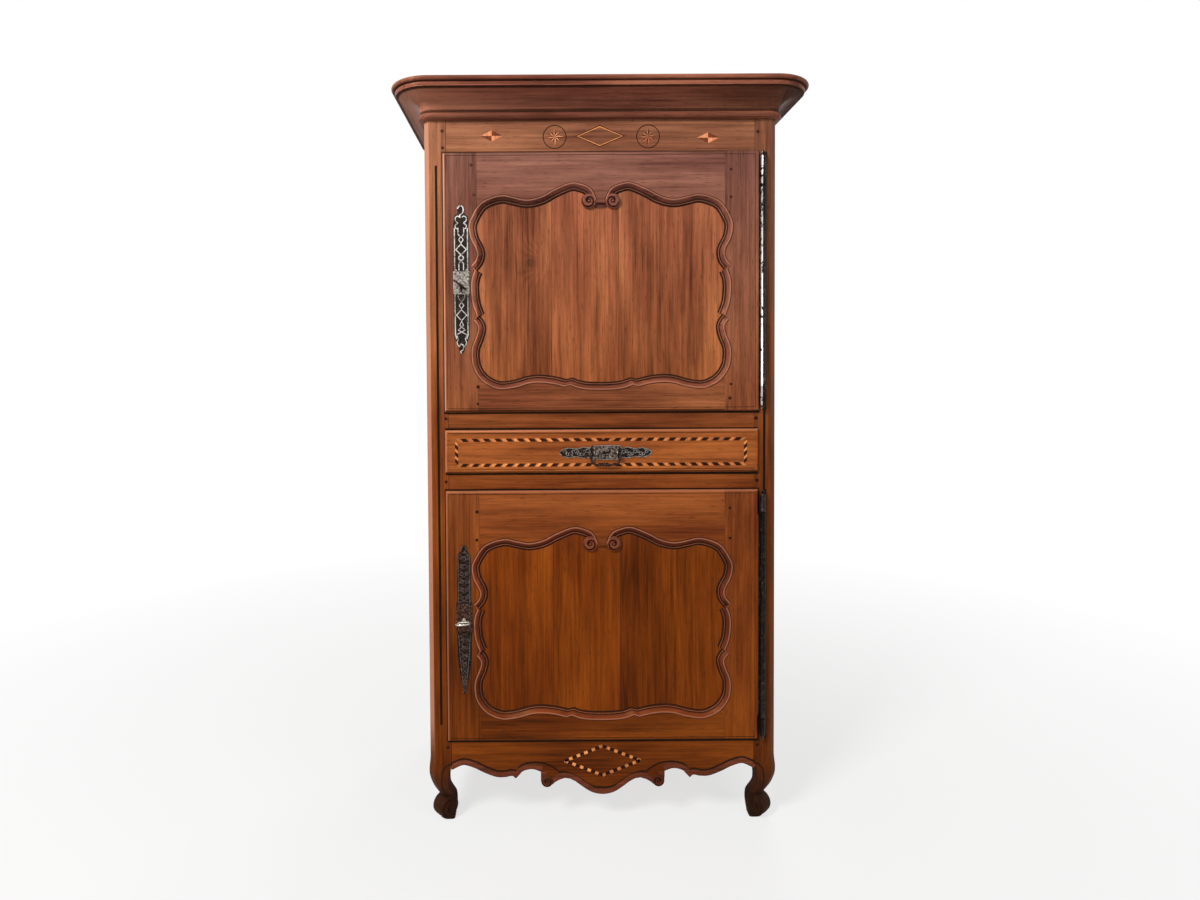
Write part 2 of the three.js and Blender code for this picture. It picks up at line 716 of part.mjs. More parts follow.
// Half outline of a door's moulded opening, from the middle of the top round to the middle of the
// bottom, in shares of its half width and its height. Each list is one smooth stretch between cusps.
const outlineStretchShares = [
  [[0, 0.906], [0.036, 0.906]],
  [[0.036, 0.92], [0.076, 0.97], [0.144, 0.993], [0.228, 1], [0.353, 0.968], [0.45, 0.935],
    [0.554, 0.92], [0.65, 0.93], [0.745, 0.942], [0.85, 0.926], [0.924, 0.895], [0.985, 0.83],
    [1, 0.79], [0.985, 0.735], [0.95, 0.69], [0.9375, 0.66], [0.95, 0.63], [0.984, 0.604]],
  [[0.957, 0.581], [0.98, 0.54], [0.986, 0.492], [0.975, 0.42], [0.943, 0.361]],
  [[0.969, 0.339], [0.945, 0.32], [0.935, 0.298], [0.95, 0.26], [0.98, 0.21], [0.986, 0.162],
    [0.97, 0.105], [0.92, 0.055], [0.853, 0.023], [0.766, 0.006], [0.65, 0.015], [0.55, 0.033],
    [0.465, 0.037], [0.37, 0.03], [0.28, 0.016]],
  [[0.24, 0.025], [0.18, 0.01], [0.1, 0.002], [0, 0]],
];
const outlineSteps = [2, 44, 10, 34, 6];
const railTopShare = 0.79;
const railBottomShare = 0.11;

// The outline, or the line a given distance inside it, as [x, z] points round the opening.
function openingOutline(place, inside) {
  const half = outlineStretchShares.flatMap((shares, k) => {
    const points = smoothStretch(shares, doorOutlineHalf, place.outlineHeight, outlineSteps[k]);
    return points.map((point, i) => {
      const before = points[Math.max(i - 1, 0)];
      const after = points[Math.min(i + 1, points.length - 1)];
      const way = new THREE.Vector2().subVectors(after, before).normalize();
      return [point.x + way.y * inside, place.outlineSill + point.y - way.x * inside];
    });
  }).map(([x, z]) => [Math.max(x, 0), z]);
  const mirrored = half.slice(1, -1).reverse().map(([x, z]) => [-x, z]);
  return half.concat(mirrored);
}

// Door y levels: the lip in front of the posts, the inner part between them.
const panelFront = -lipThickness + doorPanelSink;

function panelBlock(place, grow) {
  const reach = doorPanelTongue + grow;
  const half = doorOutlineHalf + reach;
  return block(
    [-half, half],
    [panelFront - grow, panelFront + doorPanelThickness + grow],
    [place.outlineSill - reach, place.outlineSill + place.outlineHeight + reach]);
}

function doorBlank(place) {
  const bottom = lip + rebateClearance;
  const ahead = -lipThickness - overrun;
  const front = block([-doorHalf, doorHalf], [-lipThickness, -fit], [0, place.height]);
  const back = block(
    [-doorInnerHalf, doorInnerHalf], [-fit - overrun, doorBack], [bottom, place.height - bottom]);
  const whole = join(front, back);
  const opening = frontPrism(openingOutline(place, mouldingWidth), ahead, doorBack + overrun);
  const sunk = frontPrism(openingOutline(place, 0), ahead, -lipThickness + mouldingSink);
  return cut(whole, opening, sunk, panelBlock(place, fit));
}

const doorTenonY = [panelFront, panelFront + doorTenonThickness];
const stileInner = doorHalf - doorStileWidth;

// Heights of the two rails' tenons, clear of the panel's groove.
function doorTenonHeights(place) {
  const bottom = lip + rebateClearance;
  const panelLow = place.outlineSill - doorPanelTongue;
  const panelHigh = place.outlineSill + place.outlineHeight + doorPanelTongue;
  return {
    bottom: [bottom + doorTenonShoulder, panelLow - doorTenonShoulder],
    top: [panelHigh + doorTenonShoulder, place.height - bottom - doorTenonShoulder],
  };
}

function doorTenons(heights, grow) {
  const reach = stileInner + doorTenonLength + grow;
  return block(
    [-reach, reach],
    [doorTenonY[0] - grow, doorTenonY[1] + grow],
    [heights[0] - grow, heights[1] + grow]);
}

// Where a door's rails lie: between the stiles, above or below the side lobes of the opening.
function railZones(place, grow) {
  const half = stileInner + grow;
  const low = place.outlineSill + place.outlineHeight * railBottomShare;
  const high = place.outlineSill + place.outlineHeight * railTopShare;
  const y = [-lipThickness - overrun, doorBack + overrun];
  return {
    bottom: block([-half, half], y, [-overrun, low + grow]),
    top: block([-half, half], y, [high - grow, place.height + overrun]),
  };
}

// A round hole with a slot running up or sideways from it.
function keyholeCut(x, z, y0, y1, slotWidth, slotHeight) {
  const left = slotWidth > slotHeight ? 0 : -slotWidth / 2;
  const low = slotWidth > slotHeight ? -slotHeight / 2 : 0;
  const slot = block([x + left, x + left + slotWidth], [y0, y1], [z + low, z + low + slotHeight]);
  return join(barAlongY(keyholeRadius, y0, y1, x, z), slot);
}
const keyX = -doorHalf + keyInset;

function doorKeyhole(y0, y1) {
  return keyholeCut(keyX, keyHeight, y0, y1, keyholeSlotWidth, keyholeSlotHeight);
}

// The leaf of the door's own barrel, let into the edge of the lip, round an axis at x, y.
function barrelLeaf(place, x, y, inner, grow) {
  const margin = hingeEndLength + leafMargin;
  return block(
    [x - hingeX + doorHalf - leafReach - grow, inner],
    [y + leafThickness - grow, y + 2 * leafThickness + grow],
    [margin - grow, place.height - margin + grow]);
}

// The five wooden pieces of one door.
function doorWood(place) {
  const frame = doorBlank(place);
  const zones = railZones(place, 0);
  const wideZones = railZones(place, fit);
  const heights = doorTenonHeights(place);
  const y = [-lipThickness - overrun, doorBack + overrun];
  const z = [-overrun, place.height + overrun];
  const mortises = [doorTenons(heights.top, fit), doorTenons(heights.bottom, fit)];
  const stile = (x) => cut(frame.intersect(block(x, y, z)), wideZones.top, wideZones.bottom, ...mortises);
  const rail = (zone, heightsOfTenon) => join(frame.intersect(zone), doorTenons(heightsOfTenon, 0));
  const slot = barrelLeaf(place, hingeX, -hingeStandOff, doorHalf + overrun, fit);
  return {
    hinge_stile: cut(stile([0, doorHalf + overrun]), slot),
    lock_stile: cut(stile([-doorHalf - overrun, 0]), doorKeyhole(y[0], y[1])),
    top_rail: rail(zones.top, heights.top),
    bottom_rail: rail(zones.bottom, heights.bottom),
    panel: panelBlock(place, 0),
  };
}

// Half outlines of the two lock plates, from the top down: shares of the half width, and of the
// height above the key where positive or below it where negative.
const upperPlateShares = [
  [0.1, 1], [0.45, 0.93], [0.25, 0.87], [0.85, 0.84], [1, 0.76], [1, 0.21], [1.08, 0.2],
  [1.08, -0.09], [1, -0.1], [1, -0.69], [0.75, -0.75], [0.4, -0.86], [0.5, -0.93], [0.1, -1],
];
const lowerPlateShares = [
  [0.2, 1], [0.42, 0.96], [0.3, 0.9], [0.7, 0.87], [0.78, 0.8], [0.8, 0.24], [1.05, 0.22],
  [1.05, -0.13], [0.85, -0.16], [0.7, -0.45], [0.35, -0.8], [0.25, -0.88], [0.05, -1],
];
const windowShares = [[0.24, 0.7], [-0.15, -0.64]];

function lockPlate(place, shares, windows) {
  const half = plateWidth / 2;
  const level = (share) => keyHeight + share * (share > 0 ? place.plateAbove : place.plateBelow);
  const right = shares.map(([a, b]) => [keyX + a * half, level(b)]);
  const left = shares.map(([a, b]) => [keyX - a * half, level(b)]).reverse();
  const y1 = -lipThickness - fit;
  const plate = frontPrism(right.concat(left), y1 - plateThickness, y1);
  const y = [y1 - plateThickness - overrun, y1 + overrun];
  const slots = windows.flatMap(([a, b]) => [-1, 1].map((side) => block(
    [keyX + side * plateBar / 2, keyX + side * (half - plateBar)], y, [level(a), level(b)])));
  return cut(plate, doorKeyhole(y[0], y[1]), ...slots);
}

// The lock case: a round pocket for the key's bit and a channel for the bolt.
const lockFront = doorBack + fit;
const lockLeft = -doorInnerHalf;

function lockCase() {
  const body = block(
    [lockLeft, lockLeft + lockCaseWidth],
    [lockFront, lockFront + lockCaseDepth],
    [keyHeight - lockCaseBelow, keyHeight + lockCaseAbove]);
  const pocket = barAlongY(
    keyBitReach + 2 * runningGap, lockFront - overrun, lockFront + lockCaseDepth - lockWall, keyX, keyHeight);
  const channel = block(
    [lockLeft - overrun, lockLeft + 2 * fit + boltLength],
    [boltY - fit, boltY + boltThickness + fit],
    [boltBottom - fit, boltBottom + boltHeight + fit]);
  return cut(body, pocket, channel);
}

function lockBolt() {
  return block(
    [lockLeft + fit, lockLeft + fit + boltLength],
    [boltY, boltY + boltThickness],
    [boltBottom, boltBottom + boltHeight]);
}

// The key lies along Y with its front of the door at y = 0; the bow and bit lie flat in x.
function keyPiece() {
  const tip = lipThickness + lockFront + lockCaseDepth - lockWall - runningGap;
  const shank = barAlongY(keyShankRadius, -keyStandOff - keyBowBar, tip, 0, 0);
  const bitEnd = tip - runningGap;
  const bit = block(
    [0, keyBitReach], [bitEnd - keyBitWidth, bitEnd], [-keyBitThickness / 2, keyBitThickness / 2]);
  const oval = (half, depth) => {
    const points = [];
    for (let i = 0; i < turnedSides; i += 1) {
      const turn = 2 * Math.PI * i / turnedSides;
      points.push([half * Math.cos(turn), -keyStandOff - keyBowDepth / 2 + depth * Math.sin(turn)]);
    }
    return points;
  };
  const hole = oval(keyBowWidth / 2 - keyBowBar, keyBowDepth / 2 - keyBowBar);
  const bow = planPrism(
    oval(keyBowWidth / 2, keyBowDepth / 2), -keyBowThickness / 2, keyBowThickness / 2, [hole]);
  return join(cut(shank, planPrism(hole, -keyBowWidth, keyBowWidth)), bow, bit);
}

// A knuckle with its finial at the bottom; the other end's is the same turned over.
const finialShares = [[0, 0], [0.45, 0.08], [0.62, 0.3], [0.4, 0.55], [0.6, 0.7], [1, 1]];
function knuckleProfile() {
  const finial = finialShares.map(([a, b]) => [a * hingeRadius, b * hingeFinialLength]);
  return finial.concat([
    [hingeRadius, hingeEndLength - hingeCollarHeight],
    [hingeCollarRadius, hingeEndLength - hingeCollarHeight],
    [hingeCollarRadius, hingeEndLength],
    [boreRadius, hingeEndLength],
    [boreRadius, hingeBoreFloor],
    [0, hingeBoreFloor],
  ]);
}
function turnedOver(profile, height) {
  return profile.map(([radius, z]) => [radius, height - z]).reverse();
}

function barrelProfile({ height }) {
  const low = hingeEndLength + runningGap;
  const high = height - low;
  return [
    [boreRadius, low], [hingeCollarRadius, low], [hingeCollarRadius, low + hingeCollarHeight],
    [hingeRadius, low + hingeCollarHeight], [hingeRadius, high - hingeCollarHeight],
    [hingeCollarRadius, high - hingeCollarHeight], [hingeCollarRadius, high], [boreRadius, high],
    [boreRadius, low],
  ];
}

function pinProfile({ height }) {
  const low = hingeBoreFloor + fit;
  return [[0, low], [pinRadius, low], [pinRadius, height - low], [0, height - low]];
}

function addHinge(word, place) {
  const group = groupAt(carcass, hingeX, -hingeStandOff, place.sill);
  const low = join(turned(knuckleProfile()), knuckleLeaf(0, 0, lowLeaf(place, 0), 0));
  const high = join(
    turned(turnedOver(knuckleProfile(), place.height)), knuckleLeaf(0, 0, highLeaf(place, 0), 0));
  addPiece(group, `${word}_hinge_bottom_knuckle`, low, iron);
  addPiece(group, `${word}_hinge_top_knuckle`, high, iron);
  addPiece(group, `${word}_hinge_pin`, turned(pinProfile(place)), iron);
}

function addDoor(word, place, plateShares, windows) {
  const door = groupAt(cabinet, 0, frontPlane, place.sill);
  for (const [name, part] of Object.entries(doorWood(place))) {
    addPiece(door, `${word}_door_${name}`, part, name === 'panel' ? cherryPanel : cherry);
  }
  const barrel = groupAt(door, hingeX, -hingeStandOff, 0);
  const leaf = barrelLeaf(place, 0, 0, -barrelWallMiddle, 0);
  addPiece(barrel, `${word}_hinge_barrel`, join(turned(barrelProfile(place)), leaf), iron);
  addPiece(door, `${word}_door_escutcheon`, lockPlate(place, plateShares, windows), iron);
  addPiece(door, `${word}_lock_case`, lockCase(), iron);
  addPiece(door, `${word}_lock_bolt`, lockBolt(), iron);
  const keySeat = groupAt(door, keyX, -lipThickness, keyHeight);
  keySeat.rotation.y = THREE.MathUtils.degToRad(place.keyTilt);
  addPiece(keySeat, `${word}_key`, keyPiece(), iron);
}

addHinge('upper', doorPlaces.upper);
addHinge('lower', doorPlaces.lower);
addDoor('upper', doorPlaces.upper, upperPlateShares, windowShares);
addDoor('lower', doorPlaces.lower, lowerPlateShares, []);

// The drawer: a lipped front, two sides, a bottom between them and a back standing on it.
const drawer = groupAt(cabinet, 0, frontPlane, drawerFrontBottom);
const drawerBase = lip + rebateClearance;
const drawerSideInner = doorInnerHalf - drawerSideThickness;
const behindDrawerFront = drawerInnerThickness + fit;

function drawerKeyhole(y0, y1) {
  return keyholeCut(drawerPlateOffset, drawerKeyholeHeight, y0, y1, keyholeSlotHeight, keyholeSlotWidth);
}

function drawerFront() {
  const face = block([-doorHalf, doorHalf], [-lipThickness, -fit], [0, drawerFrontHeight]);
  const inner = block(
    [-doorInnerHalf, doorInnerHalf], [-fit - overrun, drawerInnerThickness],
    [drawerBase, drawerFrontHeight - drawerBase]);
  return cut(join(face, inner), drawerKeyhole(-lipThickness - overrun, behindDrawerFront + overrun));
}
addPiece(drawer, 'drawer_front', drawerFront(), cherry);

for (const [word, side] of [['left', -1], ['right', 1]]) {
  const board = block(
    ends(side, drawerSideInner, doorInnerHalf), [behindDrawerFront, drawerDepth],
    [drawerBase, drawerBase + drawerSideHeight]);
  addPiece(drawer, `drawer_side_${word}`, board, innerWood);
}

const acrossDrawer = [-drawerSideInner + fit, drawerSideInner - fit];
const drawerFloor = drawerBase + drawerBottomThickness;
const drawerBottom = block(acrossDrawer, [behindDrawerFront, drawerDepth], [drawerBase, drawerFloor]);
addPiece(drawer, 'drawer_bottom', drawerBottom, innerWood);
const drawerRear = block(
  acrossDrawer, [drawerDepth - drawerBackThickness, drawerDepth],
  [drawerFloor + fit, drawerBase + drawerSideHeight]);
addPiece(drawer, 'drawer_back', drawerRear, innerWood);

const drawerLock = block(
  [drawerPlateOffset - drawerLockWidth / 2, drawerPlateOffset + drawerLockWidth / 2],
  [behindDrawerFront, behindDrawerFront + drawerLockDepth],
  [drawerLockRise, drawerLockRise + drawerLockHeight]);
const drawerLockHole = drawerKeyhole(
  behindDrawerFront - overrun, behindDrawerFront + drawerLockDepth - lockWall);
addPiece(drawer, 'drawer_lock_case', cut(drawerLock, drawerLockHole), iron);

// Drawer plate: quarter outline in shares of its half width and half height.
const drawerPlateShares = [
  [1, 0.05], [0.93, 0.4], [0.8, 0.62], [0.64, 0.5], [0.48, 0.78], [0.34, 0.62], [0.28, 1], [0, 1],
];
const plateFace = -lipThickness - fit - plateThickness;
const bailAxisY = plateFace - bailStandOff;
const eyeMiddle = bailSpan / 2 - 2 * bailRadius - bailEyeGap - bailEyeWidth / 2;

// One eye of the plate: a ring that the handle's end turns in, on a stem from the plate.
function bailEye(side) {
  const x = ends(side, eyeMiddle - bailEyeWidth / 2, eyeMiddle + bailEyeWidth / 2).sort((a, b) => a - b)
    .map((value) => value + drawerPlateOffset);
  const ring = barAlongX(bailEyeRadius, x[0], x[1], bailAxisY, drawerKeyholeHeight);
  const stem = block(x, [bailAxisY, plateFace + plateThickness / 2],
    [drawerKeyholeHeight - bailRadius, drawerKeyholeHeight + bailRadius]);
  const hole = barAlongX(bailRadius + fit, x[0] - overrun, x[1] + overrun, bailAxisY, drawerKeyholeHeight);
  return cut(join(ring, stem), hole);
}

function drawerPlate() {
  const quarter = drawerPlateShares.map(([a, b]) => [a * drawerPlateWidth / 2, b * drawerPlateHeight / 2]);
  const right = quarter.concat(quarter.slice(0, -1).reverse().map(([x, z]) => [-x, z]));
  const whole = right.concat(right.slice().reverse().map(([x, z]) => [x, -z]))
    .map(([x, z]) => [drawerPlateOffset + x, drawerKeyholeHeight + z]);
  const plate = frontPrism(whole, plateFace, plateFace + plateThickness);
  const hole = drawerKeyhole(plateFace - overrun, -lipThickness + overrun);
  return join(cut(plate, hole), bailEye(-1), bailEye(1));
}
addPiece(drawer, 'drawer_escutcheon', drawerPlate(), iron);

// The drop handle hangs down: two legs and a crossbar with round corners, ends turned inwards.
const bailSteps = 28;
function bailBar() {
  const x = bailSpan / 2 - bailRadius;
  const low = bailRadius - bailDrop;
  const path = new THREE.CurvePath();
  const point = (px, pz) => new THREE.Vector3(px, 0, pz);
  const corner = (from, at, to) => new THREE.QuadraticBezierCurve3(from, at, to);
  path.add(new THREE.LineCurve3(point(-x, bailRadius), point(-x, low + bailCorner)));
  path.add(corner(point(-x, low + bailCorner), point(-x, low), point(-x + bailCorner, low)));
  path.add(new THREE.LineCurve3(point(-x + bailCorner, low), point(x - bailCorner, low)));
  path.add(corner(point(x - bailCorner, low), point(x, low), point(x, low + bailCorner)));
  path.add(new THREE.LineCurve3(point(x, low + bailCorner), point(x, bailRadius)));
  const stubs = [-1, 1].map((side) => {
    const span = ends(side, x - bailStubLength, x).sort((a, b) => a - b);
    return barAlongX(bailRadius - fit, span[0], span[1], 0, 0);
  });
  return join(barAlong(path, bailRadius, bailSteps), ...stubs);
}
const bailSeat = groupAt(drawer, drawerPlateOffset, bailAxisY, drawerKeyholeHeight);
addPiece(bailSeat, 'drawer_bail', bailBar(), iron);

export default cabinet;
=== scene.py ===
# %% [markdown]
# A bonnetiere is a tall linen cabinet, one door wide: a panelled door, a drawer and a second door
# under a curved cornice, on cabriole legs. The imported model holds every board and hinge at its
# real place, so this script only gives those boards their softer edges, carving, inlay and finish.

# %% Load the imported cabinet
import json
import math
import bpy
import bmesh
from mathutils import Matrix, Vector
from mathutils.geometry import tessellate_polygon


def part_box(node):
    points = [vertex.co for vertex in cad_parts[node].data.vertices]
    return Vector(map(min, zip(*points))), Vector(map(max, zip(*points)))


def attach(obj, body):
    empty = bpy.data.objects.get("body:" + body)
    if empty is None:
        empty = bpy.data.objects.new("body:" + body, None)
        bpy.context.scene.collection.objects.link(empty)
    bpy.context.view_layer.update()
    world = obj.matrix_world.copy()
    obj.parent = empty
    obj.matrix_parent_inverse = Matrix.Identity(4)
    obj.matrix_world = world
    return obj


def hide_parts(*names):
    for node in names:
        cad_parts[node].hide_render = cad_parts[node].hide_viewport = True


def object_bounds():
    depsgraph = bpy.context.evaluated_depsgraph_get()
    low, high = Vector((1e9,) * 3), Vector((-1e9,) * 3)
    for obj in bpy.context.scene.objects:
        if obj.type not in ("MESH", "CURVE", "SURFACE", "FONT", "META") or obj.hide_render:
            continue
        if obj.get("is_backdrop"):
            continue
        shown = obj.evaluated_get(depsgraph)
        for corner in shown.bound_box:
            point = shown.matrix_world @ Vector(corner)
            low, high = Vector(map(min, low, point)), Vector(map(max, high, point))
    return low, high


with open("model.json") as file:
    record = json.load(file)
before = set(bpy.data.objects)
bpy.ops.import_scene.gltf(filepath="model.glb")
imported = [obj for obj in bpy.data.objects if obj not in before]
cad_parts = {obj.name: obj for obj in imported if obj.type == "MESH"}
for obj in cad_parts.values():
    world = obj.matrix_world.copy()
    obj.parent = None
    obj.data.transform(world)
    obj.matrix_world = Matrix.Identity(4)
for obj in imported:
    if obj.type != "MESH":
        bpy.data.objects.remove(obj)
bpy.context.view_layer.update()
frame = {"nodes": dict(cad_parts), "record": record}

# %% [markdown]
# The camera stands as it did for the photograph: a little left of the cabinet, at breast height,
# about two metres in front. Its wide lens stretches what is far from its axis, so the picture's
# centre is shifted instead of the camera turned: uprights then stay upright.

# %% Camera
scene = bpy.context.scene
PHOTO_WIDTH, PHOTO_HEIGHT, SENSOR = 1200, 900, 36
FOCAL_PIXELS, AXIS_PIXEL, CAMERA_PLACE = 750, (545, 389), (-0.162, -2.331, 1.291)
YAW, PITCH, ROLL = (math.radians(a) for a in (0.13, 1.56, -0.35))
level_ahead = Vector((math.sin(YAW), math.cos(YAW), 0))
ahead = level_ahead * math.cos(PITCH) - Vector((0, 0, math.sin(PITCH)))
level_right = Vector((math.cos(YAW), -math.sin(YAW), 0))
level_up = level_right.cross(ahead)
right = math.cos(ROLL) * level_right + math.sin(ROLL) * level_up
up = math.cos(ROLL) * level_up - math.sin(ROLL) * level_right
lens = bpy.data.cameras.new("camera")
lens.sensor_width = SENSOR
lens.lens = SENSOR * FOCAL_PIXELS / PHOTO_WIDTH
lens.shift_x = (PHOTO_WIDTH / 2 - AXIS_PIXEL[0]) / PHOTO_WIDTH
lens.shift_y = (AXIS_PIXEL[1] - PHOTO_HEIGHT / 2) / PHOTO_WIDTH
camera = bpy.data.objects.new("camera", lens)
scene.collection.objects.link(camera)
facing = Matrix((right, up, -ahead)).transposed().to_4x4()
camera.matrix_world = Matrix.Translation(CAMERA_PLACE) @ facing
scene.camera = camera
print("lens", round(lens.lens, 2), "mm")

# %% [markdown]
# Materials, the surround and Geometry Nodes are all built from nodes. A node is written in one line
# if a call adds it, sets it up and feeds its sockets, whether by a plain value or by a link.

# %% Short calls for nodes


def add(tree, kind, sockets=None, **settings):
    """Adds a node. Sockets are plain values or the outputs that feed them."""
    made = tree.nodes.new(kind)
    for key, value in settings.items():
        setattr(made, key, value)
    for key, value in (sockets or {}).items():
        if isinstance(value, bpy.types.NodeSocket):
            tree.links.new(value, made.inputs[key])
        else:
            made.inputs[key].default_value = value
    return made


def calc(tree, operation, *values):
    """The output of a Math node."""
    return add(tree, "ShaderNodeMath", dict(enumerate(values)), operation=operation).outputs[0]


print("short calls for nodes:", [call.__name__ for call in (add, calc)])

# %% [markdown]
# Most of a finish is sums, so each kind gets a short name.

# %% Sums


def plus(tree, first, second):
    """The sum of two values."""
    return calc(tree, "ADD", first, second)


def minus(tree, first, second):
    """The first value less the second."""
    return calc(tree, "SUBTRACT", first, second)


def times(tree, first, second):
    """The product of two values."""
    return calc(tree, "MULTIPLY", first, second)


def larger(tree, first, second):
    """The larger of two values, or the second where there is no first yet."""
    return second if first is None else calc(tree, "MAXIMUM", first, second)


def distance(tree, first, second):
    """How far a point is that lies the first value across and the second up."""
    squares = plus(tree, times(tree, first, first), times(tree, second, second))
    return calc(tree, "SQRT", squares)


def scaled(tree, vector, factors):
    """A vector with each of its parts times its own factor."""
    made = add(tree, "ShaderNodeVectorMath", {0: vector, 1: factors}, operation="MULTIPLY")
    return made.outputs[0]


def vector_of(tree, *parts):
    """A vector put together from its parts."""
    return add(tree, "ShaderNodeCombineXYZ", dict(enumerate(parts))).outputs[0]


def parts_of(tree, vector):
    """The three parts of a vector."""
    return add(tree, "ShaderNodeSeparateXYZ", {0: vector}).outputs


print("sums:", [call.__name__ for call in (plus, minus, times, larger, distance, scaled)])

# %% [markdown]
# Patterns and colours: a range stretched to another one, noise, and one colour laid over another.
# Colours are written as they look on a screen and turned into the linear light that Blender needs.

# %% Patterns and colours


def spread(tree, value, low, high, out_low=0.0, out_high=1.0):
    """A value's range stretched to another one, and cut off at its ends."""
    return add(tree, "ShaderNodeMapRange", {
        "Value": value, "From Min": low, "From Max": high, "To Min": out_low, "To Max": out_high,
    }).outputs[0]


def blend_colour(tree, share, first, second, kind="MIX"):
    """Two colours mixed, by default the second over the first."""
    sockets = {0: share, 6: first, 7: second}
    return add(tree, "ShaderNodeMix", sockets, data_type="RGBA", blend_type=kind).outputs[2]


def noise(tree, vector, scale, detail=2.0, roughness=0.5):
    """The plain value of a Noise texture."""
    return add(tree, "ShaderNodeTexNoise", {
        "Vector": vector, "Scale": scale, "Detail": detail, "Roughness": roughness,
    }).outputs[0]


def new_material(name):
    """A material, its tree and its surface node."""
    made = bpy.data.materials.new(name)
    made.use_nodes = True
    return made, made.node_tree, made.node_tree.nodes["Principled BSDF"]


def linear(*screen):
    """A colour written as on a screen, 0 to 255, as Blender's linear light."""
    return (*(((c / 255 + 0.055) / 1.055) ** 2.4 if c > 10 else c / 3295 for c in screen), 1)


print("mid grey as light:", [round(c, 3) for c in linear(128, 128, 128)])

# %% [markdown]
# The light is that of a room with a window on the left: a broad soft lamp high up there, a weaker
# one on the right, one behind, and a pale surround. The world looks white to the camera and in
# reflections only, so the lamps set how bright the wood is. The floor glows white towards its far
# edge, for the camera alone.

# %% Light and surround
scene.view_settings.view_transform = "Standard"


def soft_lamp(name, place, target, size, power):
    """A square lamp at a place, facing a target."""
    lamp = bpy.data.lights.new(name, "AREA")
    lamp.shape, lamp.size, lamp.energy = "SQUARE", size, power
    holder = bpy.data.objects.new(name, lamp)
    scene.collection.objects.link(holder)
    holder.location = place
    holder.rotation_euler = (Vector(target) - Vector(place)).to_track_quat("-Z", "Y").to_euler()


soft_lamp("window_lamp", (-2.4, -3.0, 3.7), (0, -0.2, 1.2), 1.2, 205)
soft_lamp("room_lamp", (3.0, -3.2, 2.2), (0, -0.2, 1.0), 2.2, 34)
soft_lamp("back_lamp", (1.5, 3.4, 2.8), (0, 0.3, 1.0), 2.0, 60)

world = bpy.data.worlds.new("room")
scene.world = world
world.use_nodes = True
tree = world.node_tree
surround = tree.nodes["Background"]
surround.inputs["Color"].default_value = (1.0, 0.98, 0.95, 1)
surround.inputs["Strength"].default_value = 0.17
ray = add(tree, "ShaderNodeLightPath").outputs
mirrored = larger(tree, ray["Is Glossy Ray"], ray["Is Transmission Ray"])
seen = plus(tree, ray["Is Camera Ray"], mirrored)
white = add(tree, "ShaderNodeBackground", {"Color": (1, 1, 1, 1), "Strength": 1.0})
mix = add(tree, "ShaderNodeMixShader", {0: seen, 1: surround.outputs[0], 2: white.outputs[0]})
tree.links.new(mix.outputs[0], tree.nodes["World Output"].inputs["Surface"])

FLOOR_REACH = 9
floor_mesh = bpy.data.meshes.new("floor")
floor_mesh.from_pydata([(FLOOR_REACH * a, FLOOR_REACH * b, 0) for a, b in (
    (-1, -1), (1, -1), (1, 1), (-1, 1))], [], [(0, 1, 2, 3)])
floor = bpy.data.objects.new("floor", floor_mesh)
scene.collection.objects.link(floor)
pale, tree, surface = new_material("pale_floor")
surface.inputs["Base Color"].default_value = (0.76, 0.76, 0.75, 1)
surface.inputs["Roughness"].default_value = 0.9
spot = add(tree, "ShaderNodeTexCoord").outputs["Object"]
away = add(tree, "ShaderNodeVectorMath", {0: spot}, operation="LENGTH").outputs["Value"]
seen = add(tree, "ShaderNodeLightPath").outputs["Is Camera Ray"]
share = times(tree, seen, spread(tree, away, 0.8, 3.2, 0.7, 1.0))
glow = add(tree, "ShaderNodeEmission")
mix = add(tree, "ShaderNodeMixShader", {0: share, 1: surface.outputs[0], 2: glow.outputs[0]})
tree.links.new(mix.outputs[0], tree.nodes["Material Output"].inputs["Surface"])
floor_mesh.materials.append(pale)
floor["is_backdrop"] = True

# %% [markdown]
# Waxed cherry is the main finish. A flat-sawn board shows the growth rings of a trunk cut along its
# length: long ovals and arches where the cut runs near the heart, straight lines at the sides. The
# material does the same sum, from the distance to a slowly wandering heart line behind each board,
# then adds fine fibres, small dark pores and broad patches of tone. Two mesh attributes steer it:
# "board" moves the pattern, so no two boards match, and a second one darkens the wood, with grime
# and with painted shade in hollows and on sides turned from the light. Below nought the second one
# lightens the wood, with wear and with painted highlights on edges and sides turned to the light.
#
# One function makes every wooden finish. Its colour steps run up the cabinet, from a deep orange
# brown low down to a paler, pinker one high up. First come the way the grain runs, and that colour.

# %% Grain and colour by height
LEVELS = (0.15, 0.75, 1.06, 1.35, 1.95)


def choice(tree, switch, first, second):
    """One of two vectors by a 0-1 switch."""
    mix = add(tree, "ShaderNodeMix", {0: switch, 4: first, 5: second}, data_type="VECTOR")
    return mix.outputs[1]


def grain_vector(tree, coords, grain, joint):
    """Coordinates in metres whose third part runs along the grain.

    On a door the rails lie between the joints. A wrapped grain runs round to the sides there."""
    if grain == "z":
        return coords
    x, y, z = parts_of(tree, coords)
    if grain == "y":
        return vector_of(tree, z, x, y)
    along_x = vector_of(tree, z, y, x)
    if grain == "x":
        return along_x
    beside = calc(tree, "ABSOLUTE", x)
    if grain == "door":
        return choice(tree, calc(tree, "LESS_THAN", beside, joint), coords, along_x)
    round_corner = calc(tree, "GREATER_THAN", beside, joint)
    return choice(tree, round_corner, along_x, vector_of(tree, z, x, y))


